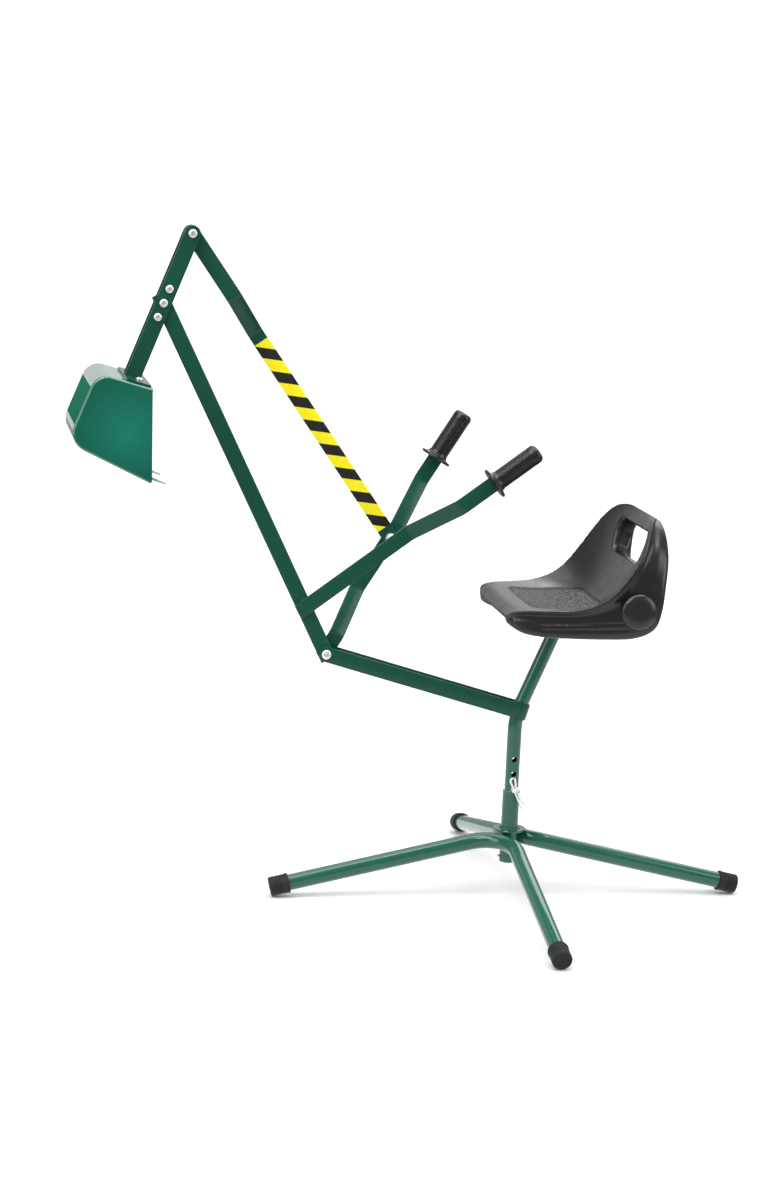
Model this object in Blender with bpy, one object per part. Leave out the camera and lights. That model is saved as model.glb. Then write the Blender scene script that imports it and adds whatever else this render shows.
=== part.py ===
"""Ride-on sandbox digger: a four-legged base, a turning seat post and a two-lever digging arm.

Units are metres, +Z is up and the floor is z = 0. The bucket points to -X and the seat's back to +X.
Side-view places are (x, z) pairs measured from the post's axis; POST_X moves them so that the
origin is at the middle of the whole digger, on the floor.
"""
import math

import bmesh
import bpy
from mathutils import Vector

# ---------------------------------------------------------------- driving dimensions
POST_X = 0.1632          # post axis from the middle of the digger's length
GAP = 0.0003             # clearance between pieces that touch

LEG_R = 0.0127           # leg tube, 25.4 mm
LEG_WALL = 0.0015
FOOT_REACH = 0.379       # post axis to the end of a foot cap
LEG_SLOPE = math.radians(12.8)
LEG_BEND_R = 0.0625      # bend of each V tube, on its centre line
CAP_R = 0.0155
CAP_LENGTH = 0.031
CAP_WALL = 0.0025

BASE_R = 0.0135          # upright tube of the base
BASE_WALL = 0.0012
BASE_BOTTOM_Z = 0.056
BASE_RIM_Z = 0.1715
STUB_BOLT_Z = 0.0625      # bolt through the foot of the base tube
FLANGE_R = 0.026
FLANGE_Z = 0.1076
FLANGE_T = 0.003

POST_R = 0.011           # seat post, 22 mm
POST_WALL = 0.0016
POST_BOTTOM_Z = 0.070
POST_BEND_Z = 0.292      # where the straight runs of the post would meet
POST_BEND_R = 0.12
POST_TILT = math.radians(22.1)
POST_TOP_Z = 0.4520
BUSH_WALL = 0.0007

PIN_R = 0.004
PIN_HALF = 0.0235        # half length of the hitch pin
HOLE_PITCH = 0.0236      # height holes of the post
CLIP_R = 0.0012

BAR_W = 0.024            # every flat bar of the arm
BAR_T = 0.004
STRAP_T = 0.003          # lower arm strap and bucket arm plates
HALF_SLOT = 0.0119       # half the space between two plates
BOOM_T = 0.0112
BOOM_WALL = 0.0012
BOLT_R = 0.004
STOP_R = 0.003

PIVOT_P = (-0.307, 0.390)    # lower arm, boom and lever
PIVOT_M = (-0.574, 0.920)    # boom and bucket arm
PIVOT_T = (-0.534, 1.024)    # bucket arm and link
BOOM_TOP = 0.014             # boom past pivot M
BOOM_FOOT = 0.010            # boom past pivot P
STOP_PITCH = 0.0225          # stop bolts from pivot M

HANDLE_ANGLE = math.radians(37.2)
HANDLE_ROOT = 0.0812         # along the boom from P
HANDLE_Y = -0.0137           # middle of the bar where it is welded to the boom
HANDLE_GRIP_Y = -0.075
LEVER_ANGLE = math.radians(58.7)
LEVER_Y = 0.0035
LEVER_MID_Y = 0.060
LEVER_GRIP_Y = 0.100
LEVER_Q = 0.2012             # pivot Q along the lever from P
LINK_Y = 0.0553

GRIP_R = 0.0152
GUARD_R = 0.025
GRIP_LENGTH = 0.083

BUCKET_MOUTH_TOP = (-0.5925, 0.8005)
BUCKET_BACK_TOP = (-0.6755, 0.8225)
BUCKET_BACK_FOOT = (-0.7165, 0.7190)
BUCKET_LIP = (-0.5925, 0.6605)
BUCKET_HALF = 0.095          # inside the side plates
SHEET_T = 0.002
MOUNT_T = 0.003
MOUNT_LENGTH = 0.037
MOUNT_HALF = 0.088
MOUNT_BOLT_Y = 0.050
TOOTH_Y = 0.050

SEAT_WALL = 0.006
BRACKET_Z = 0.4525
BRACKET_T = 0.003
BOSS = (0.1456, 0.4895)
BOSS_R = 0.0275
BOSS_BASE = 0.1550        # |y| of the inner face of the boss

ROUND = 20               # sides of a bolt or a hole
TUBE_SIDES = 20

MATERIALS = {
    "green_paint": ((0.012, 0.115, 0.070), 0.28, 0.0),
    "black_plastic": ((0.018, 0.018, 0.020), 0.42, 0.0),
    "black_rubber": ((0.020, 0.020, 0.022), 0.70, 0.0),
    "zinc": ((0.72, 0.73, 0.75), 0.30, 1.0),
    "nylon": ((0.80, 0.80, 0.76), 0.50, 0.0),
}


# ---------------------------------------------------------------- scene and objects
def clear_scene():
    for obj in list(bpy.data.objects):
        bpy.data.objects.remove(obj)


def material(slot):
    found = bpy.data.materials.get(slot)
    if found:
        return found
    colour, roughness, metallic = MATERIALS[slot]
    made = bpy.data.materials.new(slot)
    made.use_nodes = True
    shader = made.node_tree.nodes["Principled BSDF"]
    shader.inputs["Base Color"].default_value = (*colour, 1.0)
    shader.inputs["Roughness"].default_value = roughness
    shader.inputs["Metallic"].default_value = metallic
    return made


def pivot(name, place, parent=None):
    """An empty on a joint's axis, at a side-view place (x, z)."""
    empty = bpy.data.objects.new(name, None)
    bpy.context.collection.objects.link(empty)
    world = Vector((POST_X + place[0], 0.0, place[1]))
    empty["world"] = tuple(world)
    if parent:
        empty.parent = parent
        empty.location = world - Vector(parent["world"])
    else:
        empty.location = world
    return empty


def add(name, bm, slot, carrier, smooth=True):
    """Turn a bmesh made about the post's axis into an object carried by an empty."""
    bmesh.ops.remove_doubles(bm, verts=bm.verts, dist=1e-6)
    bmesh.ops.recalc_face_normals(bm, faces=bm.faces)
    shift = Vector((POST_X, 0.0, 0.0)) - Vector(carrier["world"])
    bmesh.ops.translate(bm, verts=bm.verts, vec=shift)
    mesh = bpy.data.meshes.new(name)
    bm.to_mesh(mesh)
    bm.free()
    mesh.materials.append(material(slot))
    if smooth:
        mesh.shade_smooth()
        mesh.set_sharp_from_angle(angle=math.radians(35))
    obj = bpy.data.objects.new(name, mesh)
    bpy.context.collection.objects.link(obj)
    obj.parent = carrier
    return obj


def cut(obj, bm, carrier):
    """Take a shape out of an object with a Boolean."""
    count = sum(1 for modifier in obj.modifiers if modifier.type == "BOOLEAN")
    cutter = add(f"cut_{obj.name}_{count}", bm, "zinc", carrier, smooth=False)
    cutter.hide_render = True
    cutter.display_type = "WIRE"
    modifier = obj.modifiers.new("cut", "BOOLEAN")
    modifier.operation = "DIFFERENCE"
    modifier.solver = "EXACT"
    modifier.object = cutter


# ---------------------------------------------------------------- shapes
def rings_to_mesh(rings, closed_path=False, caps=True):
    """Skin a list of rings that have the same number of points."""
    bm = bmesh.new()
    made = [[bm.verts.new(point) for point in ring] for ring in rings]
    count = len(rings[0])
    steps = len(made) if closed_path else len(made) - 1
    for i in range(steps):
        ring, following = made[i], made[(i + 1) % len(made)]
        for j in range(count):
            k = (j + 1) % count
            bm.faces.new((ring[j], ring[k], following[k], following[j]))
    if caps and not closed_path:
        bm.faces.new(made[0][::-1])
        bm.faces.new(made[-1])
    return bm


def lathe(profile, origin, axis, sides=ROUND, closed=False):
    """Turn (radius, distance along the axis) points about an axis; closed makes a ring."""
    axis = Vector(axis).normalized()
    side = axis.orthogonal().normalized()
    other = axis.cross(side)
    origin = Vector(origin)
    angles = [2 * math.pi * i / sides for i in range(sides)]
    bm = bmesh.new()
    made = []
    for radius, along in profile:
        centre = origin + axis * along
        if radius < 1e-7:
            made.append([bm.verts.new(centre)])
            continue
        made.append([bm.verts.new(centre + radius * (math.cos(a) * side + math.sin(a) * other))
                     for a in angles])
    steps = len(made) if closed else len(made) - 1
    for i in range(steps):
        ring, following = made[i], made[(i + 1) % len(made)]
        for j in range(sides):
            k = (j + 1) % sides
            corners = [ring[j % len(ring)], ring[k % len(ring)],
                       following[k % len(following)], following[j % len(following)]]
            bm.faces.new(list(dict.fromkeys(corners)))
    if not closed:
        for ring in (made[0], made[-1]):
            if len(ring) > 1:
                bm.faces.new(ring)
    return bm


def sleeve(inner, outer, start, end, origin, axis, sides=ROUND):
    profile = [(inner, start), (outer, start), (outer, end), (inner, end)]
    return lathe(profile, origin, axis, sides, closed=True)


def rod(radius, start, end, origin, axis, sides=ROUND):
    return lathe([(radius, start), (radius, end)], origin, axis, sides)


def sweep(path, radius, normal, sides=TUBE_SIDES, wall=None):
    """A round tube along a flat path whose plane has this normal; wall leaves it hollow and open."""
    normal = Vector(normal).normalized()
    path = [Vector(point) for point in path]

    def ring(index, size):
        before = path[max(index - 1, 0)]
        after = path[min(index + 1, len(path) - 1)]
        side = normal.cross((after - before).normalized())
        return [path[index] + size * (math.cos(2 * math.pi * i / sides) * normal
                                      + math.sin(2 * math.pi * i / sides) * side)
                for i in range(sides)]

    outer = [ring(i, radius) for i in range(len(path))]
    if wall is None:
        return rings_to_mesh(outer)
    inner = [ring(i, radius - wall) for i in range(len(path))]
    return rings_to_mesh(outer + inner[::-1], closed_path=True)


def arc(centre, radius, start, end, steps):
    """Points of a circle in a side view, angles in radians."""
    return [(centre[0] + radius * math.cos(start + (end - start) * i / steps),
             centre[1] + radius * math.sin(start + (end - start) * i / steps))
            for i in range(steps + 1)]


def rounded(points, radii, steps=6):
    """A side-view line through the points with each inner corner rounded."""
    line = [points[0]]
    for i in range(1, len(points) - 1):
        corner = Vector(points[i])
        back = (Vector(points[i - 1]) - corner).normalized()
        ahead = (Vector(points[i + 1]) - corner).normalized()
        half = 0.5 * math.acos(max(-1.0, min(1.0, back.dot(ahead))))
        reach = radii[i - 1] / math.tan(half)
        centre = corner + (back + ahead).normalized() * (radii[i - 1] / math.sin(half))
        first = corner + back * reach - centre
        last = corner + ahead * reach - centre
        turn = math.atan2(first.x * last.y - first.y * last.x, first.dot(last))
        start = math.atan2(first.y, first.x)
        line += arc(centre, radii[i - 1], start, start + turn, steps)
    line.append(points[-1])
    return line


def prism(outline, y0, y1):
    """A side-view outline, thickened from y0 to y1."""
    return rings_to_mesh([[(x, y0, z) for x, z in outline], [(x, y1, z) for x, z in outline]])


def along(start, angle, distance, side=0.0):
    """A side-view place at a distance along a direction and square to it."""
    return (start[0] + distance * math.cos(angle) - side * math.sin(angle),
            start[1] + distance * math.sin(angle) + side * math.cos(angle))


def ribbon(start, angle, path, thickness):
    """A flat bar bent sideways: path is (distance along, y, half width) for its middle."""
    rings = []
    for i, (distance, y, half) in enumerate(path):
        before = path[max(i - 1, 0)]
        after = path[min(i + 1, len(path) - 1)]
        run = Vector((after[0] - before[0], after[1] - before[1])).normalized()
        step = Vector((-run.y, run.x)) * (thickness / 2)
        if 0 < i < len(path) - 1:
            first = Vector((distance - before[0], y - before[1])).normalized()
            step /= max(0.5, run.dot(first))
        ring = []
        for sign, edge in ((1, 1), (1, -1), (-1, -1), (-1, 1)):
            x, z = along(start, angle, distance + sign * step.x, edge * half)
            ring.append((x, y + sign * step.y, z))
        rings.append(ring)
    return rings_to_mesh(rings)


def round_end(centre, y, radius, direction, steps=6):
    """Path points of a bar's round end; direction is +1 where the bar starts, -1 where it ends."""
    first = math.radians(14)
    angles = [first + (math.pi / 2 - first) * i / steps for i in range(steps + 1)]
    points = [(centre - direction * radius * math.cos(a), y, radius * math.sin(a)) for a in angles]
    return points if direction > 0 else points[::-1]


def bend(start, y0, end, y1, half, reach=0.006, steps=3):
    """Path points that lead a bar from y0 to y1 with a soft bend at each end."""
    rise = y1 - y0
    points = []
    for t, sign in ((start, 1), (end, -1)):
        for i in range(steps + 1):
            u = -1 + 2 * i / steps
            slope_share = (u + 1) ** 2 / 4 if sign > 0 else (1 - u) ** 2 / 4
            offset = slope_share * reach * rise / (end - start)
            y = y0 + offset if sign > 0 else y1 - offset
            points.append((t + u * reach, y, half))
    return points


def hex_ring(flats, hole, start, end, origin, axis):
    """A hexagon nut with a round hole."""
    axis = Vector(axis).normalized()
    side = axis.orthogonal().normalized()
    other = axis.cross(side)
    origin = Vector(origin)
    count = 24
    rings = []
    for size, height in (("hole", start), ("hex", start), ("hex", end), ("hole", end)):
        ring = []
        for i in range(count):
            a = 2 * math.pi * i / count
            local = (a + math.pi / 6) % (math.pi / 3) - math.pi / 6
            radius = hole if size == "hole" else 0.5 * flats / math.cos(local)
            ring.append(origin + axis * height + radius * (math.cos(a) * side + math.sin(a) * other))
        rings.append(ring)
    return rings_to_mesh(rings, closed_path=True)


# ---------------------------------------------------------------- fasteners
def across(name, place, near_y, far_y, carrier, radius=BOLT_R, head_r=0.0068, nut_flats=0.013):
    """A button-head bolt across the arm at a side-view place, its head at the near side, and its nut."""
    origin = (place[0], 0.0, place[1])
    head_h = 0.62 * radius + 0.0014
    seat = near_y - GAP
    end = far_y + GAP + 1.5 * radius + 0.0022
    profile = [(0.0, seat - head_h), (0.45 * head_r, seat - head_h), (0.80 * head_r, seat - 0.66 * head_h),
               (head_r, seat - 0.15 * head_h), (head_r, seat), (radius, seat), (radius, end), (0.0, end)]
    add(name, lathe(profile, origin, (0, 1, 0)), "zinc", carrier)
    nut = hex_ring(nut_flats, radius + GAP, far_y + GAP, far_y + GAP + 1.5 * radius, origin, (0, 1, 0))
    add(name.replace("bolt", "nut"), nut, "zinc", carrier)


def drill(obj, place, radius, carrier, y0=-0.12, y1=0.12):
    """A round hole across the arm."""
    cut(obj, rod(radius + GAP, y0, y1, (place[0], 0.0, place[1]), (0, 1, 0)), carrier)


# ---------------------------------------------------------------- base
def build_base(root):
    slope = LEG_SLOPE
    corner = Vector((0.0, 0.0, CAP_R * math.cos(slope) + FOOT_REACH * math.tan(slope)))
    length = FOOT_REACH / math.cos(slope)
    for name, side in (("leg_tube_front", -1), ("leg_tube_rear", 1)):
        first = Vector((side * math.cos(slope), 0.0, -math.sin(slope)))
        second = Vector((0.0, side * math.cos(slope), -math.sin(slope)))
        half = 0.5 * first.angle(second)
        middle = (first + second).normalized()
        centre = corner + middle * (LEG_BEND_R / math.sin(half))
        reach = LEG_BEND_R / math.tan(half)
        tube_end = length - CAP_WALL - 2 * GAP
        sweep_angle = math.pi - 2 * half
        across_bend = (first - second).normalized()
        path = [corner + first * tube_end, corner + first * (0.55 * length)]
        steps = 10
        for i in range(steps + 1):
            a = sweep_angle * (0.5 - i / steps)
            path.append(centre - middle * LEG_BEND_R * math.cos(a) + across_bend * LEG_BEND_R * math.sin(a))
        path += [corner + second * (0.55 * length), corner + second * tube_end]
        add(name, sweep(path, LEG_R, first.cross(second), wall=LEG_WALL), "green_paint", root)
        ends = (("left", first), ("front", second)) if side < 0 else (("right", first), ("back", second))
        for where, direction in ends:
            inner = LEG_R + GAP
            edge = 0.0015
            profile = [(0.0, length), (CAP_R - 2 * edge, length), (CAP_R, length - edge),
                       (CAP_R, length - CAP_LENGTH), (inner, length - CAP_LENGTH),
                       (inner, length - CAP_WALL), (0.0, length - CAP_WALL)]
            add(f"foot_cap_{where}", lathe(profile, corner, direction, 24), "black_rubber", root)

    tube = sleeve(BASE_R - BASE_WALL, BASE_R, BASE_BOTTOM_Z, BASE_RIM_Z, (0, 0, 0), (0, 0, 1), 28)
    tube = add("base_tube", tube, "green_paint", root)
    origin = (0.0, 0.0, STUB_BOLT_Z)
    cut(tube, rod(0.0025 + GAP, -0.03, 0.03, origin, (1, 0, 0)), root)
    seat = BASE_R + GAP
    profile = [(0.0, -seat - 0.0030), (0.0026, -seat - 0.0030), (0.0045, -seat - 0.0016), (0.0045, -seat),
               (0.0025, -seat), (0.0025, seat + 0.0055), (0.0, seat + 0.0055)]
    add("hub_bolt", lathe(profile, origin, (1, 0, 0), 16), "zinc", root)
    nut = hex_ring(0.008, 0.0025 + GAP, seat, seat + 0.004, origin, (1, 0, 0))
    add("hub_nut", nut, "zinc", root)
    flange = sleeve(BASE_R + GAP, FLANGE_R, FLANGE_Z, FLANGE_Z + FLANGE_T, (0, 0, 0), (0, 0, 1), 32)
    add("base_flange", flange, "green_paint", root)


def build_bush(turn):
    outer = BASE_R - BASE_WALL - GAP
    bush = sleeve(outer - BUSH_WALL, outer, POST_BOTTOM_Z, BASE_RIM_Z, (0, 0, 0), (0, 0, 1), 28)
    add("swivel_bush", bush, "nylon", turn)


# ---------------------------------------------------------------- seat post and lower arm
def post_path():
    start_z = POST_BEND_Z - POST_BEND_R * math.tan(POST_TILT / 2)
    path = [(0.0, POST_BOTTOM_Z), (0.0, 0.5 * (POST_BOTTOM_Z + start_z))]
    path += arc((POST_BEND_R, start_z), POST_BEND_R, math.pi, math.pi - POST_TILT, 7)
    top_z = POST_TOP_Z + 0.008
    path.append(((top_z - POST_BEND_Z) * math.tan(POST_TILT), top_z))
    return path


def strap_place():
    """Where the lower arm's strap goes round the post, and the lower arm's direction."""
    start_z = POST_BEND_Z - POST_BEND_R * math.tan(POST_TILT / 2)
    tilt = math.radians(15.9)
    place = (POST_BEND_R * (1 - math.cos(tilt)), start_z + POST_BEND_R * math.sin(tilt))
    angle = math.atan2(place[1] - PIVOT_P[1], place[0] - PIVOT_P[0])
    return place, angle


def build_post(lift, pin_turn):
    post = sweep([(x, 0.0, z) for x, z in post_path()], POST_R, (0, 1, 0), 24, POST_WALL)
    post = add("seat_post", post, "green_paint", lift)
    cut(post, prism([(0.0, POST_TOP_Z), (0.15, POST_TOP_Z), (0.15, 0.50), (0.0, 0.50)], -0.03, 0.03), lift)
    pin_z = BASE_RIM_Z + PIN_R + GAP
    for i in range(3):
        drill(post, (0.0, pin_z + i * HOLE_PITCH), PIN_R, lift, -0.03, 0.03)

    head = 0.003
    profile = [(0.0, -PIN_HALF), (0.7 * PIN_R, -PIN_HALF), (PIN_R, -PIN_HALF + 0.0012),
               (PIN_R, PIN_HALF - head), (1.8 * PIN_R, PIN_HALF - head), (1.8 * PIN_R, PIN_HALF),
               (0.0, PIN_HALF)]
    pin = add("hitch_pin", lathe(profile, (0, 0, pin_z), (0, 1, 0)), "zinc", pin_turn)
    clip_y = -0.0192
    lean = math.radians(25)
    down = Vector((math.sin(lean), 0.0, -math.cos(lean)))
    centre = Vector((0.0, clip_y, pin_z))
    cut(pin, rod(CLIP_R + GAP, -0.01, 0.01, centre, down, 12), pin_turn)

    side = Vector((0, 1, 0)).cross(down)
    hug = PIN_R + CLIP_R + 2 * GAP
    flat = [(0.034, 0.0), (-0.015, 0.0)]
    flat += [(-0.015 - 0.0042 * math.sin(math.pi * i / 8), -0.0042 + 0.0042 * math.cos(math.pi * i / 8))
             for i in range(1, 9)]
    flat += [(-0.009, -0.0055)]
    flat += [(hug * math.sin(a), -hug * math.cos(a))
             for a in (math.radians(d) for d in (-55, -35, -12, 12, 35, 55))]
    flat += [(0.010, -0.0040), (0.018, -0.0036), (0.030, -0.0075)]
    path = [centre + down * a + side * b for a, b in flat]
    add("hitch_clip", sweep(path, CLIP_R, (0, 1, 0), 10), "zinc", pin_turn)


def build_lower_arm(lift):
    place, angle = strap_place()
    reach = math.dist(place, PIVOT_P)
    half = BAR_W / 2
    middle = HALF_SLOT + STRAP_T / 2
    path = round_end(0.0, -middle, half, 1)
    path += [(reach * 0.5, -middle, half)]
    turns = 10
    path += [(reach + middle * math.sin(math.pi * i / turns), -middle * math.cos(math.pi * i / turns), half)
             for i in range(turns + 1)]
    path += [(reach * 0.5, middle, half)]
    path += round_end(0.0, middle, half, 1)[::-1]
    arm = add("lower_arm", ribbon(PIVOT_P, angle, path, STRAP_T), "green_paint", lift)
    drill(arm, PIVOT_P, BOLT_R, lift, -0.03, 0.03)
    across("pivot_bolt", PIVOT_P, -HALF_SLOT - STRAP_T, HALF_SLOT + STRAP_T, lift,
           head_r=0.0076)


# ---------------------------------------------------------------- seat
def seat_stations():
    """Side-view stations from the front lip over the pan and up the back.

    Each holds the sitting line, the rim at the sides, the underside, and the half width.
    """
    return [
        ((-0.0465, 0.4680), (-0.0465, 0.4685), (-0.0440, 0.4580), 0.100),
        ((-0.0400, 0.4765), (-0.0410, 0.4790), (-0.0350, 0.4520), 0.116),
        ((-0.0250, 0.4805), (-0.0220, 0.4835), (-0.0190, 0.4450), 0.124),
        ((0.0100, 0.4795), (0.0120, 0.4845), (0.0120, 0.4408), 0.130),
        ((0.0500, 0.4765), (0.0420, 0.4860), (0.0500, 0.4400), 0.137),
        ((0.0890, 0.4785), (0.0720, 0.4930), (0.1000, 0.4400), 0.144),
        ((0.1180, 0.4880), (0.0960, 0.5060), (0.1480, 0.4430), 0.150),
        ((0.1390, 0.5050), (0.1140, 0.5240), (0.1780, 0.4580), 0.154),
        ((0.1530, 0.5280), (0.1290, 0.5440), (0.1880, 0.4870), 0.154),
        ((0.1635, 0.5535), (0.1440, 0.5675), (0.1920, 0.5270), 0.150),
        ((0.1715, 0.5790), (0.1560, 0.5895), (0.1960, 0.5620), 0.138),
        ((0.1785, 0.6010), (0.1660, 0.6085), (0.1980, 0.5880), 0.116),
        ((0.1840, 0.6135), (0.1750, 0.6185), (0.1980, 0.6040), 0.094),
        ((0.1900, 0.6195), (0.1860, 0.6215), (0.1960, 0.6140), 0.072),
    ]


def smooth_stations(steps=2):
    """The stations with in-between ones on a Catmull-Rom curve."""
    rows = [[*a, *b, *c, w] for a, b, c, w in seat_stations()]
    rows = [rows[0]] + rows + [rows[-1]]
    made = []
    for i in range(1, len(rows) - 2):
        for j in range(steps):
            t = j / steps
            made.append([0.5 * (2 * b + (c - a) * t + (2 * a - 5 * b + 4 * c - d) * t * t
                                + (3 * b - a - 3 * c + d) * t ** 3)
                         for a, b, c, d in zip(*rows[i - 1:i + 3])])
    made.append(rows[-1])
    return made


def seat_ring(row, inset):
    """One closed section: over the sitting surface from side to side, then back underneath."""
    sit_x, sit_z, rim_x, rim_z, low_x, low_z, half = row
    sit, rim, low = Vector((sit_x, sit_z)), Vector((rim_x, rim_z)), Vector((low_x, low_z))
    down = (low - sit).normalized()
    sit += down * inset
    rim += down * inset * 1.4
    half -= inset
    points = []
    for i in range(15):
        t = -1 + 2 * i / 14
        share = abs(t) ** 2.6
        place = sit + (rim - sit) * share
        points.append((place.x, half * t, place.y))
    side_low = low + (rim - sit) * 0.12
    points.append((side_low.x, half, side_low.y))
    for t in (0.5, 0.0, -0.5):
        points.append((low.x, half * t, low.y))
    points.append((side_low.x, -half, side_low.y))
    return points


def build_seat(lift):
    seat = add("seat_shell", rings_to_mesh([seat_ring(row, 0.0) for row in smooth_stations()]),
               "black_plastic", lift)

    hollow_rows = []
    for row in smooth_stations(1)[1:-3]:
        sit, low = Vector(row[0:2]), Vector(row[4:6])
        back = low[0] > 0.17
        drop = (low - sit).normalized() * (-SEAT_WALL if back else 0.012)
        hollow_rows.append([*row[:4], low[0] + drop.x, low[1] + drop.y, row[6]])
    rings = [seat_ring(row, SEAT_WALL) for row in hollow_rows]
    cut(seat, rings_to_mesh(rings), lift)

    arch = rounded([(0.0, 0.40), (0.100, 0.40), (0.100, 0.460), (-0.100, 0.460), (-0.100, 0.40), (0.0, 0.40)],
                   [0.004, 0.012, 0.012, 0.004], 4)[:-1]
    cut(seat, rings_to_mesh([[(x, y * share, z) for y, z in arch]
                             for x, share in ((-0.08, 0.65), (-0.008, 1.15))]), lift)

    handle_low, handle_high = 0.542, 0.594
    lean = Vector((0.36, 0.0, 1.0)).normalized()
    middle = Vector((0.180, 0.0, (handle_low + handle_high) / 2))
    through = Vector((1.0, 0.0, -0.36)).normalized()
    corners = rounded([(0.0, 0.026), (0.093, 0.026), (0.079, -0.026), (-0.079, -0.026), (-0.093, 0.026),
                       (0.0, 0.026)], [0.018, 0.018, 0.018, 0.018], 4)[:-1]
    rings = [[middle + through * d + Vector((0, 1, 0)) * y + lean * v for y, v in corners]
             for d in (-0.05, 0.05)]
    cut(seat, rings_to_mesh(rings), lift)

    centre_x = (POST_TOP_Z - POST_BEND_Z) * math.tan(POST_TILT)
    outline = rounded([(centre_x, -0.034), (centre_x + 0.045, -0.034), (centre_x + 0.045, 0.034),
                       (centre_x - 0.045, 0.034), (centre_x - 0.045, -0.034), (centre_x, -0.034)],
                      [0.008] * 4, 4)[:-1]
    plate = rings_to_mesh([[(x, y, z) for x, y in outline] for z in (BRACKET_Z, BRACKET_Z + BRACKET_T)])
    bracket = add("seat_bracket", plate, "green_paint", lift)
    top = BRACKET_Z + BRACKET_T + GAP
    for i, (dx, y) in enumerate(((-0.034, -0.024), (0.034, -0.024), (0.034, 0.024), (-0.034, 0.024))):
        origin = (centre_x + dx, y, 0.0)
        cut(bracket, rod(STOP_R + GAP, BRACKET_Z - 0.01, top + 0.01, origin, (0, 0, 1)), lift)
        cut(seat, rod(STOP_R + GAP, top - 0.02, top + 0.008, origin, (0, 0, 1)), lift)
        seat_z = BRACKET_Z - GAP
        profile = [(0.0, seat_z - 0.0032), (0.0030, seat_z - 0.0032), (0.0054, seat_z - 0.0015),
                   (0.0054, seat_z), (STOP_R, seat_z), (STOP_R, top + 0.007), (0.0, top + 0.007)]
        add(f"seat_bolt_{i + 1}", lathe(profile, origin, (0, 0, 1)), "zinc", lift)

    for name, side in (("seat_boss_near", -1), ("seat_boss_far", 1)):
        profile = [(0.0, 0.0), (BOSS_R - 0.002, 0.0), (BOSS_R, 0.0020), (BOSS_R, 0.0050),
                   (0.92 * BOSS_R, 0.0070), (0.70 * BOSS_R, 0.0085), (0.35 * BOSS_R, 0.0094), (0.0, 0.0097)]
        profile = [(radius, BOSS_BASE + height) for radius, height in profile]
        boss = lathe(profile, (BOSS[0], 0.0, BOSS[1]), (0, side, 0), 28)
        add(name, boss, "black_plastic", lift)


# ---------------------------------------------------------------- boom, handle and lever
def boom_angle():
    return math.atan2(PIVOT_M[1] - PIVOT_P[1], PIVOT_M[0] - PIVOT_P[0])


def build_boom(lift):
    angle = boom_angle()
    length = math.dist(PIVOT_P, PIVOT_M)
    near = -HALF_SLOT + 0.0004
    far = near + BOOM_T

    def section(distance, shrink):
        half = BAR_W / 2 - shrink
        corners = ((half, near + shrink), (half, far - shrink), (-half, far - shrink), (-half, near + shrink))
        ring = []
        for side, y in corners:
            x, z = along(PIVOT_P, angle, distance, side)
            ring.append((x, y, z))
        return ring

    ends = (-BOOM_FOOT, length + BOOM_TOP)
    rings = [section(ends[0], 0.0), section(ends[1], 0.0),
             section(ends[1], BOOM_WALL), section(ends[0], BOOM_WALL)]
    boom = add("boom", rings_to_mesh(rings, closed_path=True), "green_paint", lift, smooth=False)
    for place in (PIVOT_P, PIVOT_M):
        drill(boom, place, BOLT_R, lift, -0.03, 0.03)

    half = BAR_W / 2
    grip_start = 0.3425
    root = along(PIVOT_P, angle, HANDLE_ROOT)
    cut_back = half / math.sin(boom_angle() - HANDLE_ANGLE) + 0.001
    path = [(-cut_back, HANDLE_Y, half), (0.10, HANDLE_Y, half)]
    path += bend(0.1975, HANDLE_Y, 0.2800, HANDLE_GRIP_Y, half)
    path += [(grip_start + 0.060, HANDLE_GRIP_Y, half)]
    bar = add("handle_bar", ribbon(root, HANDLE_ANGLE, path, BAR_T), "green_paint", lift)
    trim = [along(PIVOT_P, angle, HANDLE_ROOT + d, half + s)
            for d, s in ((-0.06, 0.0008), (0.06, 0.0008), (0.06, 0.04), (-0.06, 0.04))]
    cut(bar, prism(trim, -0.03, 0.0), lift)
    add_grip("handle_grip", root, HANDLE_ANGLE, grip_start, HANDLE_GRIP_Y, lift)


def add_grip(name, start, angle, distance, y, carrier):
    """A rubber grip with a round guard, pushed over the end of a bar."""
    x, z = along(start, angle, distance)
    axis = (math.cos(angle), 0.0, math.sin(angle))
    end = GRIP_LENGTH
    profile = [(0.0, -0.002), (GUARD_R - 0.0015, -0.002), (GUARD_R, -0.0005), (GUARD_R, 0.0015),
               (GUARD_R - 0.0015, 0.003), (GRIP_R, 0.005), (GRIP_R, end - 0.003), (GRIP_R - 0.003, end),
               (0.0, end)]
    grip = add(name, lathe(profile, (x, y, z), axis, 24), "black_rubber", carrier)
    half = BAR_W / 2 + GAP
    slot = [along(start, angle, distance + d, s)
            for d, s in ((-0.02, -half), (0.0605, -half), (0.0605, half), (-0.02, half))]
    cut(grip, prism(slot, y - BAR_T / 2 - GAP, y + BAR_T / 2 + GAP), carrier)


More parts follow.
